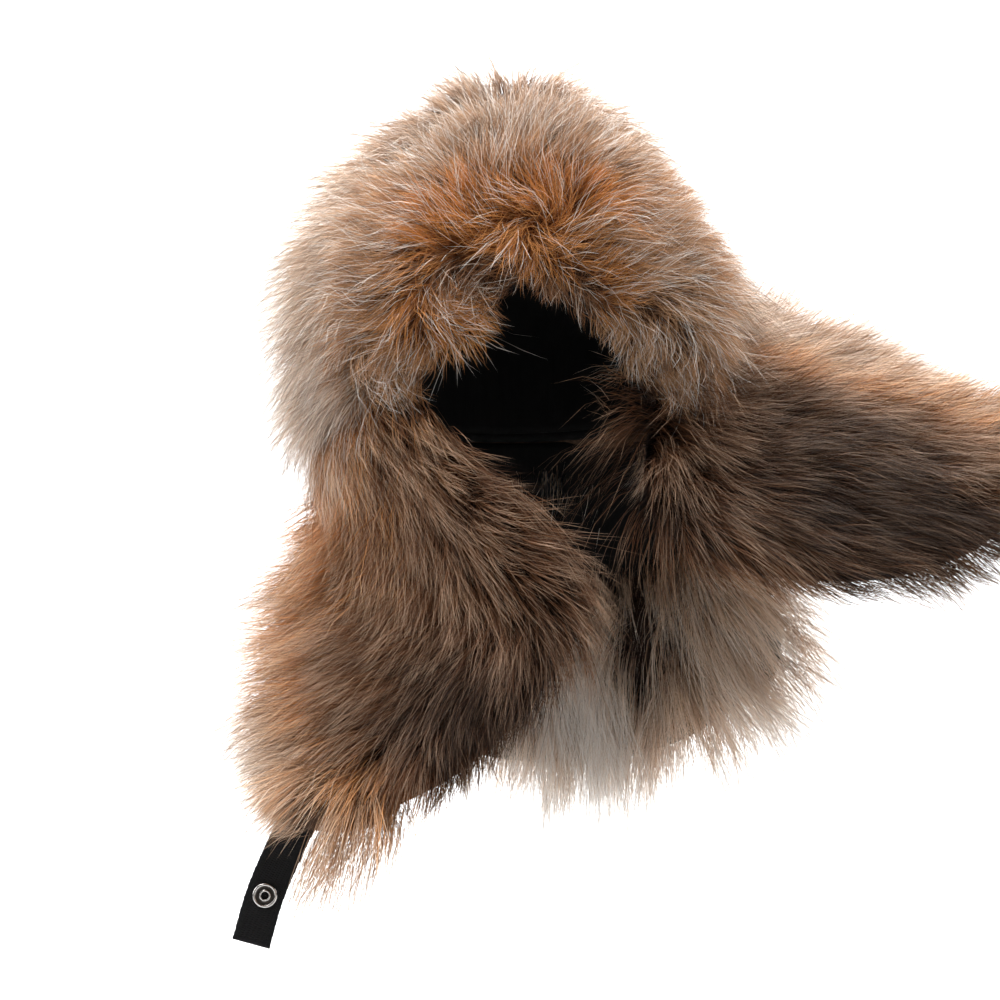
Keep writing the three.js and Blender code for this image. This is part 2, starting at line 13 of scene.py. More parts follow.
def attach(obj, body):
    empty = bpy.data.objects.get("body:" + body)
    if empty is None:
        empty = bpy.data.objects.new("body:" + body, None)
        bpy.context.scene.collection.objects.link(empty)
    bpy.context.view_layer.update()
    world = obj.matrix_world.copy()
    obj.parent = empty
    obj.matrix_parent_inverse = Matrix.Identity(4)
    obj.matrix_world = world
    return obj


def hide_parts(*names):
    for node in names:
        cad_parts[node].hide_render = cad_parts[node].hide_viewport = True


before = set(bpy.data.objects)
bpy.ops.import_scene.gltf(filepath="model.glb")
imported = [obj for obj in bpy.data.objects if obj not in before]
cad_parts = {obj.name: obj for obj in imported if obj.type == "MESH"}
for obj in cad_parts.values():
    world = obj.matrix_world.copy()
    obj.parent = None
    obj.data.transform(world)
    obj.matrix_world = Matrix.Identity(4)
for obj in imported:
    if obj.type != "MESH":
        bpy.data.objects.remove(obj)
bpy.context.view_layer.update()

bl_info = {
    "name": "Fur aviator hat",
    "version": (1, 0, 0),
    "blender": (4, 5, 0),
    "location": "3D View > Sidebar > Hat",
    "description": "Dresses the frame of a fur aviator hat",
    "category": "Object",
}

MM = 0.001
UV_NAME = "OFBake"
BODY = "root"
# A hair's map: across is its tone, and up its share of the length. Dark-tipped hairs lie half the map up.
MAP_START = 0.01
MAP_RUN = 0.48
MAP_HALF = 0.5
POINTS_A_HAIR = 7
HAIRS_A_PIECE = 39000
UP = np.array([0.0, 0.0, 1.0])
RAY = Vector((0.13, 0.21, 0.97)).normalized()

HEAD = {"half_width": 80, "half_length": 98, "dome": 96, "power": 2.1}
LINING_WALL = 1.6
HIDE_WALL = 2.0
RIM = {"side_z": -140, "brow_z": -84, "arch": np.radians(56)}
CROWN = {"coat": 29, "top": 42, "dome": 142, "power": 1.75, "overhang": 11, "tuck": 12}
BROW = {"half_angle": np.radians(50), "stand_off": 15, "upper_z": -16, "upper_drop": 40, "rows": 6}

# Each pelt's table: front edge x, y, z, back edge x, y, z, and how far the hide bows outwards. over is how
# far the coat stands past the front edge, the back edge, the first row and the last one, and inner is how
# deep the fur is on the inner side.
RIGHT_FLAP = {
    "rows": [
        [-68, -64, -141, -67, 67, -141, 19],
        [-38, -78, -176, -66, 58, -176, 13],
        [-8, -84, -214, -78, 42, -216, 9],
        [10, -86, -262, -92, 20, -260, 7],
        [-18, -84, -306, -102, 0, -302, 5],
        [-50, -78, -336, -112, -18, -332, 3],
        [-80, -66, -352, -112, -36, -348, 1],
    ],
    "outward": 1, "depth": 30, "over": (34, 32, 0, 24), "inner": 0,
}
LEFT_FLAP = {
    "rows": [
        [68, -64, -141, 67, 67, -141, 19],
        [64, -80, -192, 98, 44, -110, 12],
        [112, -84, -220, 142, 22, -104, 9],
        [176, -80, -224, 184, 4, -120, 7],
        [226, -70, -211, 222, -12, -142, 5],
        [252, -60, -196, 250, -30, -160, 2],
    ],
    "outward": -1, "depth": 30, "over": (36, 30, 0, 24), "inner": 0,
}
NECK_FLAP = {
    "rows": [
        [-68, 70, -141, -88, 68, -272, 0],
        [-44, 92, -141, -54, 98, -296, 0],
        [0, 105, -141, 0, 110, -312, 0],
        [44, 92, -141, 54, 105, -314, 0],
        [69, 70, -141, 106, 84, -302, 0],
        [83, 38, -141, 146, 50, -270, 0],
    ],
    "outward": -1, "depth": 26, "over": (0, 36, 22, 24), "inner": 18,
}

# Tone of the fur on a scale from 0, seal brown, over 0.42, orange, and 0.6, grey tan, to 1, white.
TONE_STOPS = (0.0, 0.2, 0.38, 0.42, 0.46, 0.52, 0.6, 0.8, 1.0)
ROOT_COLOURS = (
    (0.008, 0.004, 0.002), (0.040, 0.018, 0.009), (0.075, 0.034, 0.016), (0.34, 0.115, 0.030),
    (0.15, 0.065, 0.030), (0.14, 0.070, 0.036), (0.11, 0.070, 0.046), (0.34, 0.21, 0.14),
    (0.50, 0.43, 0.37),
)
BODY_COLOURS = (
    (0.018, 0.008, 0.004), (0.20, 0.088, 0.040), (0.36, 0.175, 0.085), (0.84, 0.35, 0.095),
    (0.54, 0.28, 0.13), (0.62, 0.37, 0.21), (0.48, 0.32, 0.215), (0.74, 0.55, 0.40),
    (0.86, 0.79, 0.72),
)
TIP_COLOURS = (
    (0.060, 0.034, 0.020), (0.60, 0.40, 0.27), (0.72, 0.50, 0.34), (0.92, 0.62, 0.36),
    (0.90, 0.66, 0.46), (0.92, 0.74, 0.57), (0.90, 0.78, 0.67), (0.95, 0.87, 0.78),
    (0.95, 0.93, 0.90),
)
DARK_TIP_COLOURS = (
    (0.006, 0.004, 0.003), (0.02, 0.010, 0.006), (0.03, 0.015, 0.009), (0.08, 0.035, 0.016),
    (0.05, 0.025, 0.014), (0.04, 0.024, 0.016), (0.035, 0.024, 0.018), (0.10, 0.07, 0.05),
    (0.12, 0.09, 0.075),
)

# Length of the crown's hair as a share of the setting: a base, and spots as x, z, radius across, radius up
# and share.
CROWN_SHARES = (0.9, [
    (-54, 22, 24, 24, 0.6), (10, 42, 30, 16, 0.8), (66, 2, 26, 26, 0.88), (95, -30, 26, 26, 0.75),
    (116, -66, 28, 26, 1.45), (-117, -62, 30, 40, 1.45), (-112, -130, 30, 30, 1.15),
    (-58, -22, 22, 22, 0.72), (-92, 0, 26, 28, 1.9),
])
# Tone of each pelt: a base, and spots of another tone in the same order. Some spots are darkened as painted
# shade, as said at their tables.
CROWN_TONE = (0.62, [
    (-75, -35, 40, 35, 0.58), (-5, 5, 45, 24, 0.62), (-105, -80, 30, 30, 0.66),
    (-112, -135, 40, 32, 0.7), (30, 10, 34, 24, 0.54), (60, -30, 30, 40, 0.55),
    (88, -80, 34, 45, 0.52), (100, -130, 40, 30, 0.52),
])
# On the forehead flap the thin dark band at z -92, along the lower edge over the opening, is painted shade.
BROW_TONE_AND_SHADE = (0.42, [
    (-35, -64, 28, 18, 0.42), (5, -60, 34, 18, 0.42), (-55, -98, 26, 16, 0.38),
    (0, -92, 34, 9, 0.22), (60, -80, 26, 34, 0.55), (66, -120, 28, 26, 0.52),
    (-80, -116, 26, 28, 0.5), (-85, -75, 24, 30, 0.6), (14, -70, 18, 18, 0.47),
    (0, -16, 90, 17, 0.62), (-40, -34, 22, 12, 0.56),
])
RIGHT_FLAP_TONE = (0.28, [
    (-69, -180, 34, 24, 0.27), (-50, -235, 40, 30, 0.28), (-118, -262, 28, 44, 0.54),
    (-30, -300, 44, 34, -0.1), (-97, -362, 40, 26, 0.58), (-135, -335, 24, 34, 0.78),
    (0, -240, 30, 50, 0.05), (-110, -190, 24, 44, 0.62), (-75, -292, 24, 30, 0.24),
    (-20, -190, 24, 30, 0.06),
])
LEFT_FLAP_TONE = (0.2, [
    (120, -98, 50, 20, 0.66), (190, -125, 50, 20, 0.68), (250, -150, 40, 22, 0.64),
    (132, -165, 44, 24, -0.05), (185, -200, 60, 34, -0.12), (46, -165, 34, 34, 0.08),
    (50, -205, 34, 22, 0.02), (62, -250, 36, 14, 0.6), (110, -262, 40, 12, 0.5),
    (240, -190, 40, 24, 0.1),
])
# On the neck the spot at x 132 is lowered from white to beige, and the wide band at z -180 is dark brown:
# both painted shade.
NECK_TONE_AND_SHADE = (0.72, [
    (50, -282, 28, 40, 0.9), (132, -276, 34, 44, 0.74), (96, -216, 40, 22, 0.62),
    (0, -180, 200, 30, 0.32), (-60, -250, 40, 60, 0.6),
])


# Forms


def unit(v):
    """Vectors of length 1."""
    return v / (np.linalg.norm(v, axis=-1, keepdims=True) + 1e-9)


def smooth(low, high, x):
    """A smooth step from 0 at low to 1 at high."""
    s = np.clip((x - low) / (high - low), 0, 1)
    return s * s * (3 - 2 * s)


def rim_z(angle):
    """Height of the rim, which is higher over the brow than at the sides and back."""
    share = np.minimum(np.abs(angle) / RIM["arch"], 1)
    return RIM["brow_z"] + (RIM["side_z"] - RIM["brow_z"]) * (1 - np.cos(np.pi * share)) / 2


def dome_share(z, top, height, power):
    """How wide a dome is at a height, as a share of its full width."""
    depth = np.clip((top - z) / height, 0, 1)
    return (1 - (1 - depth) ** power) ** (1 / power)


def head_point(angle, z, off):
    """A point that stands off from the hollow for the head."""
    share = dome_share(z, off, HEAD["dome"] + off, HEAD["power"])
    x = (HEAD["half_width"] + off) * share * np.sin(angle)
    y = -(HEAD["half_length"] + off) * share * np.cos(angle)
    return np.stack(np.broadcast_arrays(x, y, z), -1).astype(float)


def crown_point(angle, z, grow):
    """A point on the crown's dense coat."""
    share = dome_share(z, CROWN["top"] + grow, CROWN["dome"], CROWN["power"])
    x = (HEAD["half_width"] + CROWN["coat"] + grow) * share * np.sin(angle)
    y = -(HEAD["half_length"] + CROWN["coat"] + grow) * share * np.cos(angle)
    return np.stack(np.broadcast_arrays(x, y, z), -1).astype(float)


def brow_rows():
    """The forehead flap's table, which follows the rim below and the crown's front above."""
    rows = []
    for k in range(BROW["rows"] + 1):
        share = 2 * k / BROW["rows"] - 1
        angle = share * BROW["half_angle"]
        low = head_point(angle, rim_z(angle) + 3, BROW["stand_off"])
        high = head_point(angle, BROW["upper_z"] - BROW["upper_drop"] * share * share, BROW["stand_off"])
        rows.append([*low, *high, 7])
    return rows


BROW_FLAP = {"rows": brow_rows(), "outward": -1, "depth": 24, "over": (16, 26, 18, 18), "inner": 0}


def cubic(start, end, start_slope, end_slope, t):
    """A smooth curve from start to end with the given slopes there."""
    cubed = 2 * start - 2 * end + start_slope + end_slope
    squared = 3 * end - 3 * start - 2 * start_slope - end_slope
    return cubed * t**3 + squared * t**2 + start_slope * t + start


def table_at(rows, t):
    """Smooth values between the rows of a table, by the row number t."""
    rows = np.asarray(rows, float)
    t = np.atleast_1d(t)
    k = np.minimum(np.floor(t).astype(int), len(rows) - 2)
    f = (t - k)[:, None]
    p0, p1, p2, p3 = (rows[np.clip(k + i, 0, len(rows) - 1)] for i in (-1, 0, 1, 2))
    return cubic(p1, p2, (p2 - p0) / 2, (p3 - p1) / 2, f)


def pelt_frames(pelt, steps, cap_steps, first=0.0, caps=True):
    """Frames along a pelt as arrays, with a quarter circle of them past each free end."""
    rows = pelt["rows"]
    last = len(rows) - 1
    t = np.linspace(first, last, steps)
    row = table_at(rows, t)
    front, back = row[:, :3], row[:, 3:6]
    side = back - front
    half = np.linalg.norm(side, axis=1) / 2
    side = unit(side)

    def middle(at):
        found = table_at(rows, np.clip(at, 0, last))
        return (found[:, :3] + found[:, 3:6]) / 2

    along = unit(middle(t + 0.1) - middle(t - 0.1))
    out = unit(np.cross(side, along) * pelt["outward"])
    ahead = unit(along - side * np.sum(along * side, 1, keepdims=True))
    frames = {
        "t": t, "centre": middle(t), "side": side, "half": half, "along": along, "out": out,
        "ahead": ahead, "bow": row[:, 6], "end": np.ones(steps), "beyond": np.zeros(steps),
    }
    over_start, over_end = pelt["over"][2:]
    turn = np.radians(np.linspace(0, 86, cap_steps + 1)[1:])

    def close(index, direction, over, order):
        cap = {name: np.repeat(values[index:index + 1] if index >= 0 else values[-1:], cap_steps, 0)
               for name, values in frames.items()}
        cap["centre"] = cap["centre"] + cap["ahead"] * (direction * over * np.sin(turn))[:, None]
        cap["end"] = np.cos(turn)
        cap["beyond"] = np.sin(turn) * direction
        return {name: values[::order] for name, values in cap.items()}

    parts = [frames]
    if caps and over_end:
        parts.append(close(-1, 1, over_end, 1))
    if caps and over_start:
        parts.insert(0, close(0, -1, over_start, -1))
    return {name: np.concatenate([part[name] for part in parts]) for name in frames}


def bow_at(frames, across):
    """How far the hide stands over its chord, which is most in the middle."""
    edge = np.minimum(np.abs(across) / (frames["half"][:, None] + 1), 1)
    return frames["bow"][:, None] * (1 - edge * edge)


def place(frames, across, rise):
    """Points of a pelt from shares across it and heights over its chord."""
    return (frames["centre"][:, None] + frames["side"][:, None] * across[..., None]
            + frames["out"][:, None] * rise[..., None])


def coat_grid(pelt, frames, angles, thick):
    """The coat's outside, from the back edge over the crest to the front edge, at a share of its depth."""
    over_front, over_back = (v * 0.7 * thick for v in pelt["over"][:2])
    end = frames["end"][:, None]
    c = np.cos(angles)[None]
    s = np.sin(angles)[None]
    reach = (frames["half"][:, None] + (over_front + over_back) / 2) * end
    across = (over_back - over_front) / 2 * end + np.sign(c) * np.abs(c) ** 0.8 * reach
    over = np.where(c < 0, pelt["over"][0], pelt["over"][1])
    edge = np.where(over > 0, -2, HIDE_WALL) * end * (1 - s)
    rise = bow_at(frames, across) + pelt["depth"] * thick * s**0.72 * end**0.6 + edge
    return place(frames, across, rise)


def inner_grid(pelt, frames, shares, drop):
    """The hide's inner side, with the fur that a two-sided pelt has there."""
    across = shares[None] * (frames["half"] * frames["end"])[:, None]
    inner = pelt["inner"] * smooth(-0.1, 0.5, shares)[None] * frames["end"][:, None]
    return place(frames, across, bow_at(frames, across) - inner - drop)


# Meshes


def mesh_object(name, points, quads, triangles=None, uvs=None):
    """A mesh from arrays of points in millimetres, quads, triangles and the points' places on a map."""
    quads = np.asarray(quads, np.int32).reshape(-1, 4)
    triangles = np.asarray([] if triangles is None else triangles, np.int32).reshape(-1, 3)
    mesh = bpy.data.meshes.new(name)
    points = np.asarray(points, float)
    mesh.vertices.add(len(points))
    mesh.vertices.foreach_set("co", (points * MM).astype(np.float32).ravel())
    corners = np.concatenate([quads.ravel(), triangles.ravel()]).astype(np.int32)
    mesh.loops.add(len(corners))
    mesh.loops.foreach_set("vertex_index", corners)
    starts = np.concatenate([np.arange(len(quads)) * 4, len(quads) * 4 + np.arange(len(triangles)) * 3])
    mesh.polygons.add(len(starts))
    mesh.polygons.foreach_set("loop_start", starts.astype(np.int32))
    mesh.update(calc_edges=True)
    mesh.polygons.foreach_set("use_smooth", np.full(len(starts), True))
    if uvs is not None:
        layer = mesh.uv_layers.new(name=UV_NAME)
        layer.data.foreach_set("uv", np.asarray(uvs, np.float32)[corners].ravel())
    made = bpy.data.objects.new(name, mesh)
    bpy.context.scene.collection.objects.link(made)
    return made


def inside_out(points, triangles):
    """Whether triangles face the middle of their mesh."""
    a, b, c = (points[triangles[:, i]] for i in range(3))
    return np.sum(a * np.cross(b, c)) < 0


def lofted(loops, start, end):
    """Points and faces of a closed solid through loops of equal length, turned outwards."""
    rows, count = loops.shape[:2]
    points = np.concatenate([loops.reshape(-1, 3), [start, end]])
    r, k = np.meshgrid(np.arange(rows - 1), np.arange(count), indexing="ij")
    n = (k + 1) % count
    quads = np.stack([r * count + k, r * count + n, (r + 1) * count + n, (r + 1) * count + k], -1)
    quads = quads.reshape(-1, 4)
    k = np.arange(count)
    n = (k + 1) % count
    first = np.stack([np.full(count, rows * count), n, k], -1)
    last = np.stack([np.full(count, rows * count + 1), (rows - 1) * count + k, (rows - 1) * count + n], -1)
    triangles = np.concatenate([first, last])
    whole = np.concatenate([quads[:, [0, 1, 2]], quads[:, [0, 2, 3]], triangles])
    if inside_out(points, whole):
        quads, triangles = quads[:, ::-1], triangles[:, ::-1]
    return points, quads, triangles


def solid_object(name, loops):
    """A closed solid through loops, whose end points lie in the middle of the first and the last."""
    return mesh_object(name, *lofted(loops, loops[0].mean(0), loops[-1].mean(0)))


def set_tones(made, tones):
    """Keeps the fur's tone at each point of a mesh."""
    layer = made.data.attributes.new("tone", "FLOAT", "POINT")
    layer.data.foreach_set("value", np.asarray(tones, np.float32))


def finish_piece(made, slot, material, *nodes):
    """Rides the piece on the hat, gives it the material if it has none and hides the CAD nodes it stands
    for. slot is not used.
    """
    if not made.data.materials:
        made.data.materials.append(material)
    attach(made, BODY)
    if nodes:
        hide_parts(*nodes)


# Materials


def made_once(store):
    """Lets a maker of materials or node groups hand back what has its name already."""
    def wrap(maker):
        def find(name, *values, **named):
            return getattr(bpy.data, store).get(name) or maker(name, *values, **named)
        return find
    return wrap


def link_all(tree, links):
    """Links pairs of an output and an input."""
    for source, target in links:
        tree.links.new(source, target)


def add_node(tree, kind, values=(), **properties):
    """A new node with its properties, and the plain values of its inputs by name."""
    made = tree.nodes.new(kind)
    for name, value in properties.items():
        setattr(made, name, value)
    for name, value in dict(values).items():
        made.inputs[name].default_value = value
    return made


def new_group(name, kind, sockets):
    """A node group, with its sockets as name, type, default and whether it is put out."""
    tree = bpy.data.node_groups.new(name, kind)
    for label, socket_type, default, put_out in sockets:
        socket = tree.interface.new_socket(
            label, in_out="OUTPUT" if put_out else "INPUT", socket_type=f"NodeSocket{socket_type}")
        if default is not None:
            socket.default_value = default
    return tree, tree.nodes.new("NodeGroupInput"), tree.nodes.new("NodeGroupOutput")


def placed_group(tree, group, values=()):
    """A node group placed in a material with its own values."""
    return add_node(tree, "ShaderNodeGroup", values, node_tree=group)


def two_colours(tree, low, high):
    """A mix of two colours by a factor still to be linked."""
    made = add_node(tree, "ShaderNodeMix", data_type="RGBA")
    made.inputs["A"].default_value = (*low, 1)
    made.inputs["B"].default_value = (*high, 1)
    return made


def ramp(tree, colours):
    """Colours over the scale of tones."""
    node = tree.nodes.new("ShaderNodeValToRGB")
    elements = node.color_ramp.elements
    while len(elements) < len(colours):
        elements.new(0.5)
    for element, stop, colour in zip(elements, TONE_STOPS, colours):
        element.position = stop
        element.color = (*colour, 1)
    return node


@made_once("node_groups")
def fur_group(name):
    """Colour of a hair from its tone, its share from root to tip and whether its tip is dark."""
    tree, inputs, outputs = new_group(name, "ShaderNodeTree", (
        ("Tone", "Float", 0.5, False), ("Length share", "Float", 0.5, False),
        ("Dark tip", "Float", 0.0, False), ("Color", "Color", None, True),
    ))
    tables = (ROOT_COLOURS, BODY_COLOURS, TIP_COLOURS, DARK_TIP_COLOURS)
    root, body, tip, dark = (ramp(tree, colours) for colours in tables)
    for node in (root, body, tip, dark):
        tree.links.new(inputs.outputs["Tone"], node.inputs["Fac"])

    def mixed(fac, a, b):
        node = add_node(tree, "ShaderNodeMix", data_type="RGBA")
        link_all(tree, [(fac, node.inputs["Factor"]), (a, node.inputs["A"]), (b, node.inputs["B"])])
        return node.outputs["Result"]

    def span(low, high):
        node = add_node(tree, "ShaderNodeMapRange", {"From Min": low, "From Max": high},
                        interpolation_type="SMOOTHSTEP")
        tree.links.new(inputs.outputs["Length share"], node.inputs["Value"])
        return node.outputs["Result"]

    end = mixed(inputs.outputs["Dark tip"], tip.outputs["Color"], dark.outputs["Color"])
    lower = mixed(span(0.1, 0.5), root.outputs["Color"], body.outputs["Color"])
    whole = mixed(span(0.5, 0.95), lower, end)
    tree.links.new(whole, outputs.inputs["Color"])
    return tree


def new_material(name, roughness, specular):
    """A material with the values set on its shader's own sockets."""
    material = bpy.data.materials.new(name)
    material.use_nodes = True
    shader = material.node_tree.nodes["Principled BSDF"]
    shader.inputs["Roughness"].default_value = roughness
    shader.inputs["Specular IOR Level"].default_value = specular
    return material, material.node_tree, shader


def math_node(tree, operation, a, b=None):
    """The output of a sum over numbers or other nodes' outputs."""
    node = add_node(tree, "ShaderNodeMath", operation=operation)
    for socket, value in zip(node.inputs, (a, b)):
        if value is None:
            continue
        if isinstance(value, (int, float)):
            socket.default_value = value
        else:
            tree.links.new(value, socket)
    return node.outputs["Value"]


@made_once("materials")
def hair_material(name):
    """Hairs read their tone, their share of the length and whether their tip is dark from their map."""
    material, tree, shader = new_material(name, 0.5, 0.18)
    uv = add_node(tree, "ShaderNodeUVMap", uv_map=UV_NAME)
    split = tree.nodes.new("ShaderNodeSeparateXYZ")
    dark = math_node(tree, "GREATER_THAN", split.outputs["Y"], MAP_HALF)
    rest = math_node(tree, "SUBTRACT", split.outputs["Y"], math_node(tree, "MULTIPLY", dark, MAP_HALF))
    share = math_node(tree, "MULTIPLY", rest, 1 / MAP_HALF)
    fur = placed_group(tree, fur_group("Fur colour"))
    link_all(tree, [
        (uv.outputs["UV"], split.inputs["Vector"]),
        (split.outputs["X"], fur.inputs["Tone"]),
        (share, fur.inputs["Length share"]),
        (dark, fur.inputs["Dark tip"]),
        (fur.outputs["Color"], shader.inputs["Base Color"]),
    ])
    return material


@made_once("materials")
def undercoat_material(name):
    """Short dense underfur between the hairs, its colour scaled down to 0.4 as painted shade under them."""
    material, tree, shader = new_material(name, 0.85, 0.15)
    tone = add_node(tree, "ShaderNodeAttribute", attribute_name="tone")
    coordinates = tree.nodes.new("ShaderNodeTexCoord")
    noise = add_node(tree, "ShaderNodeTexNoise", {"Scale": 420, "Detail": 3})
    fur = placed_group(tree, fur_group("Fur colour"))
    bump = add_node(tree, "ShaderNodeBump", {"Distance": 0.002, "Strength": 0.9})
    share = math_node(tree, "MULTIPLY", noise.outputs["Fac"], 0.3)
    # The underfur's colour is scaled down to 0.4: painted shade under the hairs.
    shade = add_node(tree, "ShaderNodeVectorMath", {"Scale": 0.4}, operation="SCALE")
    link_all(tree, [
        (coordinates.outputs["Object"], noise.inputs["Vector"]),
        (tone.outputs["Fac"], fur.inputs["Tone"]),
        (share, fur.inputs["Length share"]),
        (fur.outputs["Color"], shade.inputs[0]),
        (shade.outputs["Vector"], shader.inputs["Base Color"]),
        (noise.outputs["Fac"], bump.inputs["Height"]),
        (bump.outputs["Normal"], shader.inputs["Normal"]),
    ])
    return material


@made_once("node_groups")
def weave_group(name):
    """Height of a plain weave from a map, by threads across and along."""
    tree, inputs, outputs = new_group(name, "ShaderNodeTree", (
        ("Vector", "Vector", None, False), ("Across", "Float", 100, False), ("Along", "Float", 100, False),
        ("Height", "Float", None, True),
    ))
    split = tree.nodes.new("ShaderNodeSeparateXYZ")
    tree.links.new(inputs.outputs["Vector"], split.inputs["Vector"])

    def wave(axis, count):
        turned = math_node(tree, "MULTIPLY", split.outputs[axis], inputs.outputs[count])
        return math_node(tree, "SINE", math_node(tree, "MULTIPLY", turned, 2 * np.pi))

    both = math_node(tree, "MULTIPLY", wave("X", "Across"), wave("Y", "Along"))
    tree.links.new(math_node(tree, "MULTIPLY_ADD", both, 0.5), outputs.inputs["Height"])
    return tree


@made_once("materials")
def cloth_material(name, colour, across, along, mapped, depth=0.0003):
    """Woven cloth. A mapped one follows its piece's own map, and another the piece's own space."""
    material, tree, shader = new_material(name, 0.9, 0.25)
    if mapped:
        vector = add_node(tree, "ShaderNodeUVMap", uv_map=UV_NAME).outputs["UV"]
    else:
        vector = tree.nodes.new("ShaderNodeTexCoord").outputs["Object"]
    weave = placed_group(tree, weave_group("Weave"), {"Across": across, "Along": along})
    noise = add_node(tree, "ShaderNodeTexNoise", {"Scale": 60})
    tint = two_colours(tree, [c * 0.7 for c in colour], [c * 1.5 for c in colour])
    bump = add_node(tree, "ShaderNodeBump", {"Distance": depth, "Strength": 0.6})
    link_all(tree, [
        (vector, weave.inputs["Vector"]),
        (vector, noise.inputs["Vector"]),
        (noise.outputs["Fac"], tint.inputs["Factor"]),
        (tint.outputs["Result"], shader.inputs["Base Color"]),
        (weave.outputs["Height"], bump.inputs["Height"]),
        (bump.outputs["Normal"], shader.inputs["Normal"]),
    ])
    return material


@made_once("materials")
def metal_material(name, colour, roughness):
    """Plated metal with faint wear."""
    material, tree, shader = new_material(name, roughness, 0.5)
    shader.inputs["Metallic"].default_value = 1.0
    coordinates = tree.nodes.new("ShaderNodeTexCoord")
    noise = add_node(tree, "ShaderNodeTexNoise", {"Scale": 900})
    tint = two_colours(tree, [c * 0.8 for c in colour], colour)
    worn = add_node(tree, "ShaderNodeMapRange", {"To Min": roughness * 0.8, "To Max": roughness * 1.4})
    link_all(tree, [
        (coordinates.outputs["Object"], noise.inputs["Vector"]),
        (noise.outputs["Fac"], tint.inputs["Factor"]),
        (tint.outputs["Result"], shader.inputs["Base Color"]),
        (noise.outputs["Fac"], worn.inputs["Value"]),
        (worn.outputs["Result"], shader.inputs["Roughness"]),
    ])
    return material


# Fur


def spot(points, middle_x, middle_z, wide, high):
    """A soft spot seen from the front, from 1 in its middle to 0 far away."""
    return np.exp(-(((points[..., 0] - middle_x) / wide) ** 2) - ((points[..., 2] - middle_z) / high) ** 2)


def spotted(points, table):
    """A value at points, such as the fur's tone, from the base and the spots of a table."""
    base, spots = table
    base_weight = 0.22
    total = np.full(points.shape[:-1], base_weight)
    value = total * base
    for *place_and_size, spot_value in spots:
        weight = spot(points, *place_and_size)
        total = total + weight
        value = value + weight * spot_value
    return value / total


def grid_normals(points, inside):
    """Normals of a grid of points, turned away from the points inside it."""
    normals = unit(np.cross(np.gradient(points, axis=0), np.gradient(points, axis=1)))
    inward = np.sum(normals * (points - inside), -1, keepdims=True) < 0
    return np.where(inward, -normals, normals)


def patch(points, inside, comb, tone, length, lean, weight=1.0):
    """What hair grows from: a grid of points with its normals, comb, tone, length, lean and density."""
    normals = grid_normals(points, inside)
    comb = comb - normals * np.sum(comb * normals, -1, keepdims=True)
    extra = [np.broadcast_to(value, points.shape[:2])[..., None] for value in (tone, length, lean, weight)]
    return np.concatenate([points, normals, unit(comb), *extra], -1)


def sampled(grid, count, rng):
    """Random places on a patch, even over its area."""
    points = grid[..., :3]
    a = points[1:, :-1] - points[:-1, :-1]
    b = points[:-1, 1:] - points[:-1, :-1]
    area = np.linalg.norm(np.cross(a, b), axis=-1) * grid[:-1, :-1, -1]
    flat = area.ravel() / area.sum()
    cell = rng.choice(len(flat), count, p=flat)
    i, j = np.unravel_index(cell, area.shape)
    u = rng.random((count, 1))
    v = rng.random((count, 1))
    return (grid[i, j] * (1 - u) * (1 - v) + grid[i + 1, j] * u * (1 - v)
            + grid[i, j + 1] * (1 - u) * v + grid[i + 1, j + 1] * u * v)


def deep_inside(point, tree, depth):
    """Whether a point lies deeper than depth in a closed shell."""
    found, normal, _, _ = tree.ray_cast(point, RAY)
    if found is None or normal.dot(RAY) < 0:
        return False
    return tree.find_nearest(point)[3] > depth


def outside(places, trees, depth):
    """Keeps the places that aren't deeper than depth inside another pelt."""
    keep = [not any(deep_inside(Vector(p), tree, depth) for tree in trees) for p in places[:, :3]]
    return places[np.array(keep)]


def swirl_field(points, size, seed):
    """A smooth random value from -1 to 1 over space, as a sum of a few waves."""
    rng = np.random.default_rng(seed)
    value = np.zeros(len(points))
    for _ in range(5):
        way = rng.normal(size=3)
        way /= np.linalg.norm(way)
        value += np.sin(points @ way * (2 * np.pi / size) * rng.uniform(0.6, 1.5) + rng.uniform(0, 6.3))
    return value / 3


# Hair stays inside these corners, because fabric may stand only a little past the frame's box.
REACH_LOW = np.array([-188.0, -167.0, -451.0])
REACH_HIGH = np.array([350.0, 180.0, 76.0])
# Places along a hair's length, and its width at all of them but the tip.
HAIR_SHARES = np.array([0, 0.36, 0.7, 1.0])
TAPER = np.array([0.9, 1.0, 0.65])


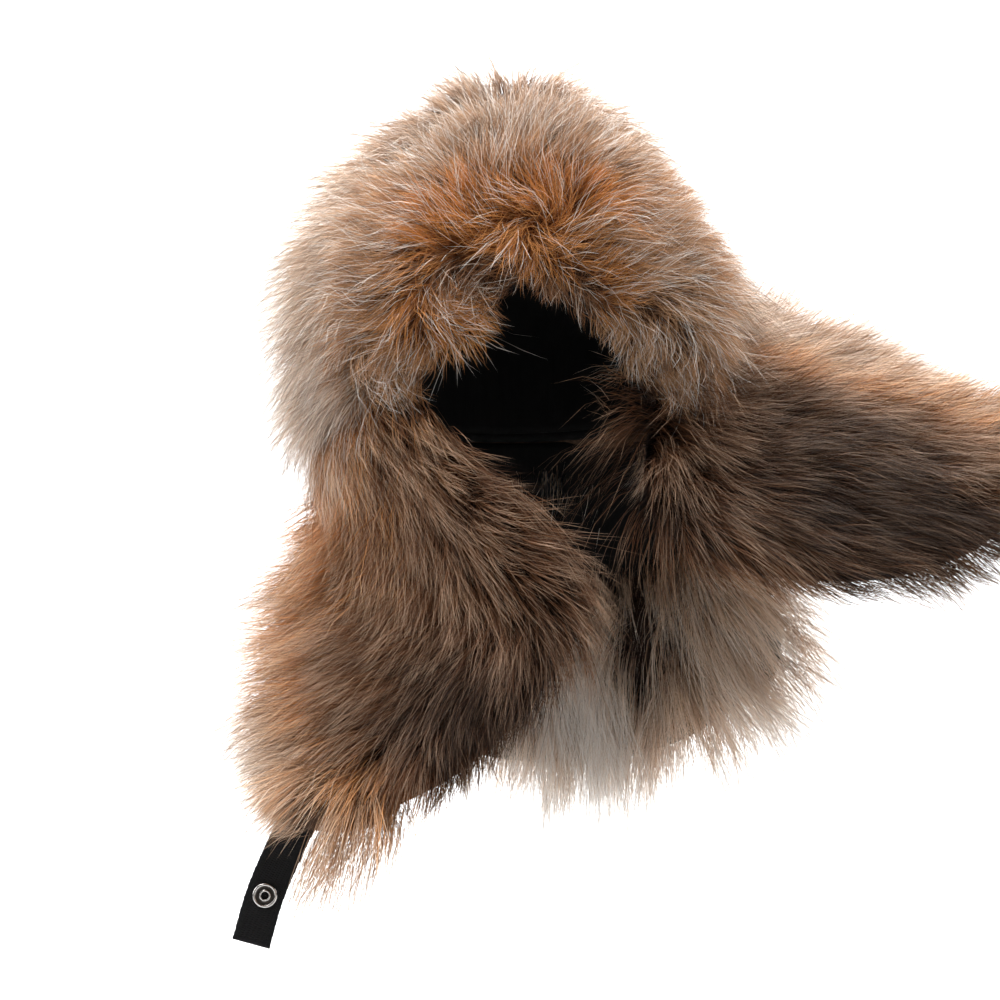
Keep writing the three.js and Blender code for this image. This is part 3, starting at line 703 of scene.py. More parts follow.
def strands(places, style, seed):
    """Points and maps of tufts of flat tapering hairs at the places of a patch."""
    rng = np.random.default_rng(seed)
    root, normal, comb = places[:, :3], unit(places[:, 3:6]), unit(places[:, 6:9])
    count = len(root)
    beside = np.cross(normal, comb)
    turn = style["swirl"] * swirl_field(root, style["swirl_size"], seed)
    turn = turn + rng.normal(size=count) * style["stray_turn"]
    comb = comb * np.cos(turn)[:, None] + beside * np.sin(turn)[:, None]
    shag = style["shag"] * swirl_field(root, style["shag_size"], seed + 1)
    tuft_length = places[:, 10] * (1 + 0.12 * rng.normal(size=count) + shag)
    tuft_lean = places[:, 11] + style["lean_jitter"] * rng.normal(size=count)
    varied = 0.025 * rng.normal(size=count) + 0.05 * swirl_field(root, 34, seed + 2)
    tuft_tone = places[:, 9] + style["tone_change"] * varied
    tuft_dark = np.clip(style["dark"] * (1 + 1.2 * swirl_field(root, 24, seed + 3)), 0, 1)

    pick = np.repeat(np.arange(count), style["per_tuft"])
    n = len(pick)
    root, normal, comb = root[pick], normal[pick], comb[pick]
    beside = np.cross(normal, comb)
    under = rng.random(n) < style["under"]
    stray = ~under & (rng.random(n) < style["strays"])
    length = tuft_length[pick] * (1 + style["length_jitter"] * rng.normal(size=n))
    length = length * np.where(under, style["under_length"], np.where(stray, 1.15, 1.0))
    lean = tuft_lean[pick] + 0.12 * rng.normal(size=n)
    offset = np.clip(rng.normal(size=(n, 2)), -2.2, 2.2) * style["tuft_radius"]
    wave = rng.uniform(0, 2 * np.pi, n)
    bend = rng.normal(size=(n, 3)) * (style["bend"] * length * np.where(stray, 1.8, 1.0))[:, None]
    converge = np.where(stray, 0.0, np.where(under, 0.3, style["converge"]))
    crinkle = style["crinkle"] + np.where(under, 0.5, 0)
    rise, run = np.cos(lean), np.sin(lean)
    lines = []
    for t in HAIR_SHARES:
        gather = (1 - converge * t)[:, None]
        lines.append(
            root + (comb * offset[:, :1] + beside * offset[:, 1:]) * gather
            + normal * (length * rise * (1.45 * t - 0.45 * t * t))[:, None]
            + comb * (length * run * (0.35 * t + 0.65 * t * t))[:, None]
            + bend * t * t
            + beside * (crinkle * np.sin(wave + 6 * t) * t)[:, None]
            - UP * (style["droop"] * length * t * t)[:, None])
    lines = np.stack(lines, 1)
    spread = lines - root[:, None]
    room = np.where(spread > 0, REACH_HIGH - root[:, None], root[:, None] - REACH_LOW)
    kept = np.clip((room / np.maximum(np.abs(spread), 0.01)).min(axis=(1, 2)), 0.2, 1)
    kept = np.where(kept < 1, kept * rng.uniform(0.8, 1, n), 1)
    lines = root[:, None] + spread * kept[:, None, None]
    facing = unit(normal + 0.55 * rng.normal(size=(n, 3)))
    width = style["width"] * np.where(stray, 0.8, 1.0) * (1 + 0.25 * rng.normal(size=n)).clip(0.5, 1.6)
    tone = tuft_tone[pick] + 0.03 * style["tone_change"] * rng.normal(size=n)
    tone = tone + np.where(under, 0, style["guard_lift"])
    tone = np.clip(tone, 0.02, 0.98)
    dark = ~under & (rng.random(n) < tuft_dark[pick])
    reach = np.where(under, 0.6, 1.0)
    points = np.zeros((n, POINTS_A_HAIR, 3))
    maps = np.zeros((n, POINTS_A_HAIR, 2))
    for k in range(3):
        across = unit(np.cross(lines[:, k + 1] - lines[:, k], facing)) * (width * TAPER[k] / 2)[:, None]
        points[:, 2 * k] = lines[:, k] - across
        points[:, 2 * k + 1] = lines[:, k] + across
        maps[:, 2 * k, 0] = tone - 0.004
        maps[:, 2 * k + 1, 0] = tone + 0.004
        up = MAP_START + MAP_RUN * HAIR_SHARES[k] * reach + MAP_HALF * dark
        maps[:, 2 * k:2 * k + 2, 1] = up[:, None]
    points[:, 6] = lines[:, 3]
    maps[:, 6, 0] = tone
    maps[:, 6, 1] = MAP_START + MAP_RUN * reach + MAP_HALF * dark
    return points, maps


def hair_objects(name, slot, points, maps):
    """Hairs as pieces of fewer than 200,000 triangles."""
    count = -(-len(points) // HAIRS_A_PIECE)
    pieces = zip(np.array_split(points, count), np.array_split(maps, count))
    for number, (some, some_maps) in enumerate(pieces, 1):
        base = (np.arange(len(some)) * POINTS_A_HAIR)[:, None]
        quads = np.concatenate([base + np.array([[0, 1, 3, 2]]), base + np.array([[2, 3, 5, 4]])])
        triangles = base + np.array([[4, 5, 6]])
        corners = some_maps.reshape(-1, 2)
        piece = mesh_object(f"{name}_{number}", some.reshape(-1, 3), quads, triangles, corners)
        finish_piece(piece, slot, hair_material("Hair"))


def style_of(**changes):
    """How the hair of a pelt lies: angles in radians, sizes in millimetres."""
    style = {
        "per_tuft": 14, "tuft_radius": 3.2, "converge": 0.55, "lean_jitter": 0.12, "swirl": 0.3,
        "swirl_size": 70, "stray_turn": 0.16, "shag": 0.1, "shag_size": 45, "length_jitter": 0.12,
        "strays": 0.2, "under": 0.45, "under_length": 0.68, "guard_lift": 0.1, "tone_change": 1,
        "bend": 0.05, "crinkle": 0.3, "droop": 0.05, "dark": 0.25,
    }
    return {**style, **changes}


def crown_grid(grow, angles, levels):
    """The crown's coat from the top to the rim, and round its lower edge."""
    rows = []
    for share in levels:
        z = CROWN["top"] + grow + (rim_z(angles) - CROWN["top"] - grow) * share
        rows.append(crown_point(angles, z, grow))
    low = crown_point(angles, rim_z(angles), grow)
    flat = np.linalg.norm(low[:, :2], axis=1)
    side_share = (rim_z(angles) - RIM["brow_z"]) / (RIM["side_z"] - RIM["brow_z"])
    for tuck, hang in ((1, 0.45), (4, 0.8), (8, 0.96), (CROWN["tuck"], 1.0)):
        row = low.copy()
        row[:, :2] *= (1 - tuck / flat)[:, None]
        row[:, 2] = rim_z(angles) - CROWN["overhang"] * hang * side_share
        rows.append(row)
    return np.stack(rows)


def crown_solid_loops(grow):
    """Loops of the crown's undercoat, down its outside and up round the lining."""
    angles = np.linspace(-np.pi, np.pi, 97)[:-1]
    outer = crown_grid(grow, angles, np.linspace(0, 1, 40)[1:] ** 1.25)
    foot = head_point(angles, rim_z(angles), LINING_WALL + 0.4)
    inner = [head_point(angles, 2 + (rim_z(angles) - 2) * share, LINING_WALL + 0.4)
             for share in np.linspace(1, 0, 24)[:-1] ** 1.25]
    return np.concatenate([outer, foot[None], np.stack(inner[1:])])


def pelt_loops(pelt, frames, thick):
    """Closed loops round a pelt: over its coat, and back along its inner side."""
    coat = coat_grid(pelt, frames, np.linspace(0, np.pi, 33), thick)
    inner = inner_grid(pelt, frames, np.linspace(-1, 1, 15), 0)
    return np.concatenate([coat, inner], 1)


def tree_of(loops):
    """A pelt's undercoat as a search tree."""
    points, quads, triangles = lofted(loops, loops[0].mean(0), loops[-1].mean(0))
    faces = [list(map(int, face)) for face in (*quads, *triangles)]
    return BVHTree.FromPolygons([Vector(p) for p in points], faces)


# Depth of the undercoat as a share of the dense coat, and how far the crown's lies under it.
UNDER = 0.74
CROWN_UNDER = -7
# Hair isn't grown where its root lies deeper than this in another pelt.
COVERED_DEPTH = 7


def all_loops():
    """The undercoats of all the pelts, by name."""
    loops = {"crown": crown_solid_loops(CROWN_UNDER)}
    for name, pelt in (("brow", BROW_FLAP), ("right", RIGHT_FLAP), ("left", LEFT_FLAP), ("neck", NECK_FLAP)):
        loops[name] = pelt_loops(pelt, pelt_frames(pelt, 48, 6), UNDER)
    return loops


LOOPS = all_loops()
TREES = {name: tree_of(loops) for name, loops in LOOPS.items()}


def undercoat(name, key, slot, tone, *nodes):
    """The dense underfur and hide of a pelt, which stands for its CAD solid."""
    made = solid_object(name, LOOPS[key])
    points = np.concatenate([LOOPS[key].reshape(-1, 3), [LOOPS[key][0].mean(0), LOOPS[key][-1].mean(0)]])
    set_tones(made, spotted(points, tone))
    finish_piece(made, slot, undercoat_material("Underfur"), *nodes)


def pelt_patch(pelt, lie, tone):
    """The coat's outside as a patch. lie gives the hair's comb, length and lean from row and angle."""
    frames = pelt_frames(pelt, 72, 8)
    angles = np.linspace(0.03, np.pi - 0.03, 60)
    points = coat_grid(pelt, frames, angles, UNDER)
    inside = (frames["centre"] + frames["out"] * (frames["bow"] + 4)[:, None])[:, None]
    t = frames["t"][:, None] / (len(pelt["rows"]) - 1)
    t, angle = np.broadcast_arrays(t, angles[None])
    ahead, aside, down, length, lean = lie(t, angle)
    beyond = frames["beyond"][:, None]
    comb = (frames["along"][:, None] * (ahead + 1.2 * beyond)[..., None]
            + frames["side"][:, None] * (aside + 0 * t)[..., None] - UP * (down + 0 * t)[..., None])
    return patch(points, inside, comb, spotted(points, tone), length, lean)


def over_strap(tips, rng):
    """Which hairs end over the right strap, but for a few at its top."""
    line = np.array(STRAP_RIGHT, float)
    drop = -tips[:, 2]
    across = tips[:, 0] - np.interp(drop, -line[:, 2], line[:, 0])
    bare_from = 386
    kept_share = np.interp(drop, [362, 374, bare_from], [1.0, 0.25, 0.0])
    beside_strap = (across > -15) | (drop > bare_from)
    return beside_strap & (across < 9) & (rng.random(len(tips)) > kept_share)


def furred(name, slot, grid, style, count, seed, near, strap=False):
    """Hair over a patch, left out where a neighbour covers it."""
    rng = np.random.default_rng(seed)
    places = sampled(grid, count // style["per_tuft"], rng)
    places = outside(places, [TREES[other] for other in near], COVERED_DEPTH)
    points, maps = strands(places, style, seed + 10)
    if strap:
        kept = ~over_strap(points[:, 6], rng)
        points, maps = points[kept], maps[kept]
    hair_objects(name, slot, points, maps)


# Straps and snaps

STRAP = {"width": 20, "thickness": 1.8, "hem_thickness": 3, "hem_length": 11, "snap_from_end": 26}
SNAP = {"rim": 6.4, "cap": 5.8, "shank": 3, "hole": 1.9}
STRAP_RIGHT = [[-103, -46, -328], [-112, -44, -352], [-124, -41, -378], [-134, -40, -402], [-141, -40, -427]]
STRAP_LEFT = [[240, -42, -181], [264, -42, -184], [289, -41, -194], [308, -40, -213], [318, -40, -238]]
STRAP_FACE = np.array([0.0, -1.0, 0.0])
# Thickness of the stitching thread in metres.
THREAD = 0.00032


def centripetal(points, count):
    """Evenly spaced points, and directions, on the smooth curve through the given points."""
    p = np.asarray(points, float)
    ends = np.vstack([2 * p[0] - p[1], p, 2 * p[-1] - p[-2]])
    dense = []
    for i in range(len(p) - 1):
        p0, p1, p2, p3 = ends[i:i + 4]
        d0, d1, d2 = (np.sqrt(np.linalg.norm(b - a)) for a, b in ((p0, p1), (p1, p2), (p2, p3)))
        m1 = ((p1 - p0) / d0 - (p2 - p0) / (d0 + d1) + (p2 - p1) / d1) * d1
        m2 = ((p2 - p1) / d1 - (p3 - p1) / (d1 + d2) + (p3 - p2) / d2) * d1
        t = np.linspace(0, 1, 60, endpoint=False)[:, None]
        dense.append(cubic(p1, p2, m1, m2, t))
    dense = np.vstack(dense + [p[-1:]])
    run = np.concatenate([[0], np.cumsum(np.linalg.norm(np.diff(dense, axis=0), axis=1))])
    wanted = np.linspace(0, run[-1], count)
    at = np.stack([np.interp(wanted, run, dense[:, i]) for i in range(3)], 1)
    along = unit(np.gradient(at, axis=0))
    return at, along, run[-1]


def strap_frames(points, count):
    """A strap's centre line, its directions along, across and out of its face, and its length."""
    at, along, length = centripetal(points, count)
    across = unit(np.cross(along, STRAP_FACE))
    face = unit(np.cross(across, along))
    return at, along, across, face, length


def strap_object(name, points):
    """Webbing with soft edges and a folded hem at its free end."""
    count = 120
    at, _, across, face, length = strap_frames(points, count)
    run = np.linspace(0, length, count)
    hem = smooth(length - STRAP["hem_length"] - 0.6, length - STRAP["hem_length"] + 0.4, run)
    front = STRAP["thickness"] / 2 * np.ones(count)
    back = STRAP["thickness"] / 2 - STRAP["thickness"] + (STRAP["thickness"] - STRAP["hem_thickness"]) * hem
    # The fold itself is a soft round end.
    fold = np.sqrt(np.clip(1 - ((run - (length - 1.5)) / 1.5).clip(0, 1) ** 2, 0.02, 1))
    middle = (front + back) / 2
    half_thick = (front - back) / 2 * fold
    ring = np.linspace(0, 2 * np.pi, 33)[:-1]
    c, s = np.cos(ring), np.sin(ring)
    wide = np.sign(c) * np.abs(c) ** 0.16 * STRAP["width"] / 2
    edge_wave = 0.12 * np.sin(run * 2.1) + 0.08 * np.sin(run * 0.9 + 1)
    over_width = wide[None] + np.sign(c)[None] * edge_wave[:, None]
    over_face = middle[:, None] + np.sign(s) * np.abs(s) ** 0.55 * half_thick[:, None]
    loops = at[:, None] + across[:, None] * over_width[..., None] + face[:, None] * over_face[..., None]
    start, end = (at[k] + face[k] * middle[k] for k in (0, -1))
    points_all, quads, triangles = lofted(loops, start, end)
    uv = np.zeros((len(points_all), 2))
    down, over = (np.linspace(0.02, 0.98, number) for number in (count, len(ring)))
    uv[:-2] = np.stack(np.meshgrid(over, down), -1).reshape(-1, 2)
    uv[-2:] = (0.5, 0.01), (0.5, 0.99)
    return mesh_object(name, points_all, quads, triangles, uv)


def stitch_tree(name, length, spacing, material):
    """Geometry Nodes that lay stitches along the edges of a mesh."""
    tree, inputs, outputs = new_group(name, "GeometryNodeTree", (
        ("Geometry", "Geometry", None, False), ("Stitch length", "Float", length, False),
        ("Spacing", "Float", spacing, False), ("Thread", "Float", THREAD, False),
        ("Geometry", "Geometry", None, True),
    ))
    for socket in tree.interface.items_tree:
        if socket.socket_type == "NodeSocketFloat":
            socket.subtype = "DISTANCE"
    curve = tree.nodes.new("GeometryNodeMeshToCurve")
    resample = add_node(tree, "GeometryNodeResampleCurve", mode="LENGTH")
    ball = add_node(tree, "GeometryNodeMeshUVSphere", {"Segments": 8, "Rings": 6, "Radius": 0.5})
    size = tree.nodes.new("ShaderNodeCombineXYZ")
    tangent = tree.nodes.new("GeometryNodeInputTangent")
    align = add_node(tree, "FunctionNodeAlignRotationToVector", axis="Z")
    instance = tree.nodes.new("GeometryNodeInstanceOnPoints")
    realize = tree.nodes.new("GeometryNodeRealizeInstances")
    paint = add_node(tree, "GeometryNodeSetMaterial", {"Material": material})
    link_all(tree, [
        (inputs.outputs["Geometry"], curve.inputs["Mesh"]),
        (curve.outputs["Curve"], resample.inputs["Curve"]),
        (inputs.outputs["Spacing"], resample.inputs["Length"]),
        (inputs.outputs["Thread"], size.inputs["X"]),
        (inputs.outputs["Thread"], size.inputs["Y"]),
        (inputs.outputs["Stitch length"], size.inputs["Z"]),
        (resample.outputs["Curve"], instance.inputs["Points"]),
        (ball.outputs["Mesh"], instance.inputs["Instance"]),
        (tangent.outputs["Tangent"], align.inputs["Vector"]),
        (align.outputs["Rotation"], instance.inputs["Rotation"]),
        (size.outputs["Vector"], instance.inputs["Scale"]),
        (instance.outputs["Instances"], realize.inputs["Geometry"]),
        (realize.outputs["Geometry"], paint.inputs["Geometry"]),
        (paint.outputs["Geometry"], outputs.inputs["Geometry"]),
    ])
    return tree


def stitched(name, lines, tree):
    """Stitches along lines of points, as one plain mesh."""
    points = np.vstack(lines)
    edges = []
    start = 0
    for line in lines:
        edges += [(start + k, start + k + 1) for k in range(len(line) - 1)]
        start += len(line)
    guide = bpy.data.meshes.new(name + "_guide")
    guide.from_pydata([tuple(p * MM) for p in points], edges, [])
    holder = bpy.data.objects.new(name + "_guide", guide)
    bpy.context.scene.collection.objects.link(holder)
    modifier = holder.modifiers.new("Stitches", "NODES")
    modifier.node_group = tree
    evaluated = holder.evaluated_get(bpy.context.evaluated_depsgraph_get())
    mesh = bpy.data.meshes.new_from_object(evaluated)
    bpy.data.objects.remove(holder)
    made = bpy.data.objects.new(name, mesh)
    bpy.context.scene.collection.objects.link(made)
    return made


def strap_stitch_lines(points):
    """Lines of stitches along both edges, across the hem's inner end and near the fold."""
    at, _, across, face, length = strap_frames(points, 160)
    run = np.linspace(0, length, 160)
    front = STRAP["thickness"] / 2 - 0.02
    inset = STRAP["width"] / 2 - 2.4
    lines = []
    for side in (-1, 1):
        keep = (run > 3) & (run < length - 2)
        lines.append((at + across * side * inset + face * front)[keep])
    for back in (STRAP["hem_length"] - 1.5, 3.2):
        k = int(np.argmin(np.abs(run - (length - back))))
        shares = np.linspace(-1, 1, 12)[:, None]
        lines.append(at[k] + across[k] * shares * inset + face[k] * front)
    return lines


def snap_place(points):
    """Where the snap sits on a strap."""
    count = 400
    at, along, across, face, length = strap_frames(points, count)
    k = int(np.argmin(np.abs(np.linspace(0, length, count) - (length - STRAP["snap_from_end"]))))
    return at[k], along[k], across[k], face[k]


def turned(name, profile, where, sides, materials):
    """A lathe round a strap's face direction. A row of the profile is radius, height and material number."""
    at, along, across, face = where
    rows = np.array([[r, h] for r, h, _ in profile], float)
    ring = np.linspace(0, 2 * np.pi, sides, endpoint=False)
    around = np.cos(ring)[:, None] * across + np.sin(ring)[:, None] * along
    loops = at + rows[1:-1, :1, None] * around[None] + rows[1:-1, 1:, None] * face
    made = mesh_object(name, *lofted(loops, at + face * rows[0, 1], at + face * rows[-1, 1]))
    for material in materials:
        made.data.materials.append(material)
    number = [n for _, _, n in profile]
    index = np.repeat([*number[1:-2], number[0], number[-2]], sides)
    made.data.polygons.foreach_set("material_index", index.astype(np.int32))
    return made


def snap_profile():
    """From the back cap through the strap's hole to the ring and its plain sunk face."""
    face = STRAP["thickness"] / 2 + 0.35
    rim, cap, shank, hole = SNAP.values()
    plate, dark = 0, 1
    return [
        (0, -face - 1.3, plate), (4.6, -face - 1.3, plate), (5.3, -face - 1.22, plate),
        (5.72, -face - 0.95, plate), (cap, -face - 0.55, plate), (5.72, -face, plate), (shank, -face, plate),
        (shank, face, plate), (6.2, face, plate), (rim, face + 0.25, plate), (rim, face + 0.8, plate),
        (6.28, face + 1.2, plate), (6.0, face + 1.44, plate), (5.6, face + 1.52, plate),
        (5.25, face + 1.45, plate), (5.0, face + 1.2, plate), (4.86, face + 0.85, dark),
        (4.6, face + 0.78, dark), (3.2, face + 0.78, dark), (3.0, face + 0.86, plate),
        (2.85, face + 1.1, plate), (2.6, face + 1.22, plate), (2.25, face + 1.2, plate),
        (2.02, face + 1.0, plate), (1.92, face + 0.5, plate), (hole, face - 0.4, dark),
        (0.9, face - 0.42, dark), (0, face - 0.4, dark),
    ]


# Linings


def cap_lining():
    """Cloth lining of the crown in four gores, down its outside and up its inside, with sunk seams."""
    angles = np.linspace(-np.pi, np.pi, 145)[:-1]
    levels = np.linspace(0, 1, 44)[1:] ** 1.3
    from_seam = np.mod(angles + np.pi / 4, np.pi / 2) - np.pi / 4
    seam = np.exp(-(from_seam / 0.02) ** 2)
    pucker = 0.5 * np.sin(angles * 23) * np.exp(-(from_seam / 0.2) ** 2)
    outer, inner = [], []
    for share in levels:
        z_outer = LINING_WALL + (rim_z(angles) - LINING_WALL) * share
        z_inner = rim_z(angles) * share
        outer.append(head_point(angles, z_outer, LINING_WALL))
        row = head_point(angles, z_inner, 0)
        push = np.minimum(0.9 * seam + 0.35 * pucker * seam.max() * share, 1.1)
        away = unit(row - np.array([0, 0, -70]))
        inner.append(row + away * push[:, None])
    return np.stack(outer + inner[::-1])


def binding_loops():
    """A soft rolled edge round the rim, where lining and hide meet."""
    angles = np.linspace(-np.pi, np.pi, 181)
    path = head_point(angles, rim_z(angles), 4.0)
    path[:, 2] = rim_z(angles) - 1.5
    away = unit(path * [1, 1, 0])
    along = unit(np.gradient(path, axis=0))
    along[[0, -1]] = unit(along[0] + along[-1])
    cross = unit(np.cross(along, away))
    ring = np.linspace(0, 2 * np.pi, 13)[:-1]
    radius = 3.4 + 0.2 * np.sin(angles * 40)
    return (path[:, None] + away[:, None] * (np.cos(ring)[None] * radius[:, None])[..., None]
            + cross[:, None] * (np.sin(ring)[None] * radius[:, None])[..., None])


def ring_object(name, loops):
    """A closed tube from loops whose first and last are the same."""
    rows, count = loops.shape[0] - 1, loops.shape[1]
    points = loops[:-1].reshape(-1, 3)
    r, k = np.meshgrid(np.arange(rows), np.arange(count), indexing="ij")
    m = (r + 1) % rows
    n = (k + 1) % count
    quads = np.stack([r * count + k, r * count + n, m * count + n, m * count + k], -1).reshape(-1, 4)
    if inside_out(points, quads):
        quads = quads[:, ::-1]
    return mesh_object(name, points, quads)


def panel_loops(pelt, drop, first, last_share):
    """A thin cloth panel on a flap's inner side."""
    frames = pelt_frames(pelt, 40, 0, first, caps=False)
    shares = np.linspace(-0.95, last_share, 25)
    wall = 1.4
    ripple = 0.25 * np.sin(frames["t"][:, None] * 9 + shares[None] * 5)
    near = inner_grid({**pelt, "inner": 0}, frames, shares, drop)
    far = inner_grid({**pelt, "inner": 0}, frames, shares, drop + wall)
    far = far - frames["out"][:, None] * ripple[..., None]
    return np.concatenate([near, far[:, ::-1]], 1)


# Settings


class HatFurSettings(bpy.types.PropertyGroup):
    crown_hairs: bpy.props.IntProperty(
        name="Crown hairs", description="Hairs on the crown", default=46000, min=0)
    brow_hairs: bpy.props.IntProperty(
        name="Forehead hairs", description="Hairs on the forehead flap", default=28000, min=0)
    right_hairs: bpy.props.IntProperty(
        name="Right flap hairs", description="Hairs on the hanging flap", default=35000, min=0)
    left_hairs: bpy.props.IntProperty(
        name="Left flap hairs", description="Hairs on the lifted flap", default=35000, min=0)
    neck_hairs: bpy.props.IntProperty(
        name="Neck hairs", description="Hairs on the neck flap", default=32000, min=0)
    hair_width: bpy.props.FloatProperty(
        name="Hair width", description="Width of a hair at its thickest, in millimetres",
        default=0.3, min=0.1)
    crown_length: bpy.props.FloatProperty(
        name="Crown hair", description="Length in millimetres", default=41, min=5)
    brow_length: bpy.props.FloatProperty(
        name="Forehead hair", description="Length in millimetres", default=28, min=5)
    flap_length: bpy.props.FloatProperty(
        name="Flap hair", description="Length in millimetres", default=34, min=5)
    neck_length: bpy.props.FloatProperty(
        name="Neck hair", description="Length in millimetres", default=42, min=5)


class HatClothSettings(bpy.types.PropertyGroup):
    # The lining's colour is its own black, darkened further to near black as painted shade inside the
    # hollow.
    lining_and_shade_colour: bpy.props.FloatVectorProperty(
        name="Lining", description="Colour of the lining",
        default=(0.0015, 0.0015, 0.0016), subtype="COLOR", min=0, max=1)
    webbing_colour: bpy.props.FloatVectorProperty(
        name="Webbing", description="Colour of the straps",
        default=(0.006, 0.006, 0.0065), subtype="COLOR", min=0, max=1)
    stitch_length: bpy.props.FloatProperty(
        name="Stitch length", description="Length of a stitch", default=0.0022, min=0.0005, unit="LENGTH")
    stitch_spacing: bpy.props.FloatProperty(
        name="Stitch spacing", description="From one stitch to the next",
        default=0.003, min=0.001, unit="LENGTH")


class HatStageSettings(bpy.types.PropertyGroup):
    floor_height: bpy.props.FloatProperty(
        name="Floor", description="Height of the floor", default=-0.62, unit="LENGTH")
    camera_distance: bpy.props.FloatProperty(
        name="Camera distance", description="From the hat's middle to the camera",
        default=1.35, min=0.5, unit="LENGTH")
    camera_azimuth: bpy.props.FloatProperty(
        name="Camera azimuth", description="Round the hat from the front",
        default=np.radians(-6), subtype="ANGLE")
    camera_elevation: bpy.props.FloatProperty(
        name="Camera elevation", description="Over the horizon", default=np.radians(-6), subtype="ANGLE")
    sky: bpy.props.FloatProperty(
        name="Sky", description="Strength of the light from all round", default=0.08, min=0)


# Operators


class HAT_OT_crown(bpy.types.Operator):
    """Underfur and hair of the crown"""
    bl_idname = "hat.crown"
    bl_label = "Crown fur"

    def execute(self, context):
        settings = context.scene.hat_fur
        undercoat("crown_undercoat", "crown", "crown_fur", CROWN_TONE, "crown_fur")
        angles = np.linspace(-np.pi, np.pi, 181)
        points = crown_grid(CROWN_UNDER, angles, np.linspace(0.004, 1, 90) ** 1.2)
        x, z = points[..., 0], points[..., 2]
        wearer_left = smooth(-40, 60, x)
        low = smooth(-40, -115, z)
        share = spotted(points, CROWN_SHARES)
        saddle = spot(points, 116, -72, 26, 28)
        lean = 0.6 + 0.3 * wearer_left * (1 - low) + 0.1 * low - 0.4 * saddle
        covered = (np.abs(angles) < BROW["half_angle"])[None] * smooth(-10, -30, z)
        comb = unit(np.gradient(points, axis=0)) + np.array([0.4, 2.2, 0]) * smooth(24, 44, z)[..., None]
        grid = patch(points, np.array([0, 0, -60.0]), comb,
                     spotted(points, CROWN_TONE), settings.crown_length * share, lean, 1 - covered)
        style = style_of(swirl=0.35, swirl_size=60, dark=0.6, width=settings.hair_width, droop=0.08,
                         converge=0.6, guard_lift=0.24, tuft_radius=2.8)
        furred("crown_hair", "crown_fur", grid, style, settings.crown_hairs, 11, ("brow", "left"))
        return {"FINISHED"}


class HAT_OT_brow(bpy.types.Operator):
    """Underfur and hair of the forehead flap"""
    bl_idname = "hat.brow"
    bl_label = "Forehead flap fur"

    def execute(self, context):
        settings = context.scene.hat_fur
        undercoat("forehead_undercoat", "brow", "brow_fur", BROW_TONE_AND_SHADE, "forehead_flap_fur")

        def lie(t, angle):
            centre = (t - 0.5) * 2
            temple = smooth(0.7, 1.0, np.abs(centre))
            low_edge = smooth(0.55 * np.pi, 0.95 * np.pi, angle)
            hang = low_edge * smooth(-0.2, -0.5, centre)
            length = settings.brow_length * (1 - 0.5 * low_edge * (1 - temple) * (1 - 0.55 * hang))
            ahead = 0.6 * centre * (1 - hang) + 0.2 * hang
            return ahead, 0.25 + 0.5 * np.cos(angle) - 0.3 * hang, 0.5 * temple + 0.4 * hang, length, 0.8

        style = style_of(swirl=1.2, swirl_size=44, stray_turn=0.4, crinkle=0.9, bend=0.08, dark=0.04,
                         strays=0.5, width=settings.hair_width, tuft_radius=3.6, converge=0.45,
                         lean_jitter=0.2, under=0.86, under_length=0.85, guard_lift=0.5, tone_change=0.4)
        grid = pelt_patch(BROW_FLAP, lie, BROW_TONE_AND_SHADE)
        furred("forehead_hair", "brow_fur", grid, style, settings.brow_hairs, 23, ("crown",))
        return {"FINISHED"}


class HAT_OT_right_flap(bpy.types.Operator):
    """Underfur and hair of the hanging ear flap"""
    bl_idname = "hat.right_flap"
    bl_label = "Right ear flap fur"

    def execute(self, context):
        settings = context.scene.hat_fur
        undercoat("right_flap_undercoat", "right", "flap_fur", RIGHT_FLAP_TONE, "ear_flap_fur_right")

        def lie(t, angle):
            back = smooth(0.4 * np.pi, 0, angle)
            corner = smooth(0.55, 0.75, t) * (1 - smooth(0.9, 1, t)) * smooth(0.7 * np.pi, np.pi, angle)
            front_edge = smooth(0.55 * np.pi, 0.95 * np.pi, angle)
            shoulder = smooth(0.04, 0.14, t) * (1 - smooth(0.34, 0.52, t)) * front_edge
            end = smooth(0.93, 1, t)
            front = smooth(0.35 * np.pi, 0.6 * np.pi, angle)
            swell = np.exp(-(((angle - 1.1) / 0.6) ** 2))
            swell = swell * smooth(0.15, 0.35, t) * (1 - smooth(0.72, 0.86, t))
            upper = 1 - smooth(0.66, 0.8, t)
            tip = end * (front - 0.4 * (1 - front))
            share = 1 + 0.85 * back * upper + 0.15 * swell + tip - 0.1 * back * (1 - upper) - 0.3 * corner
            length = settings.flap_length * (share + 0.1 * shoulder)
            aside = 0.2 + 0.85 * np.cos(angle) - 0.3 * shoulder
            return 0.9 - 0.9 * shoulder - 0.35 * back, aside, 0.1, length, 0.95 - 0.2 * back - 0.25 * swell

        style = style_of(dark=0.25, width=settings.hair_width, guard_lift=0.06)
        grid = pelt_patch(RIGHT_FLAP, lie, RIGHT_FLAP_TONE)
        furred("right_flap_hair", "flap_fur", grid, style, settings.right_hairs, 37, ("crown", "brow"), True)
        return {"FINISHED"}


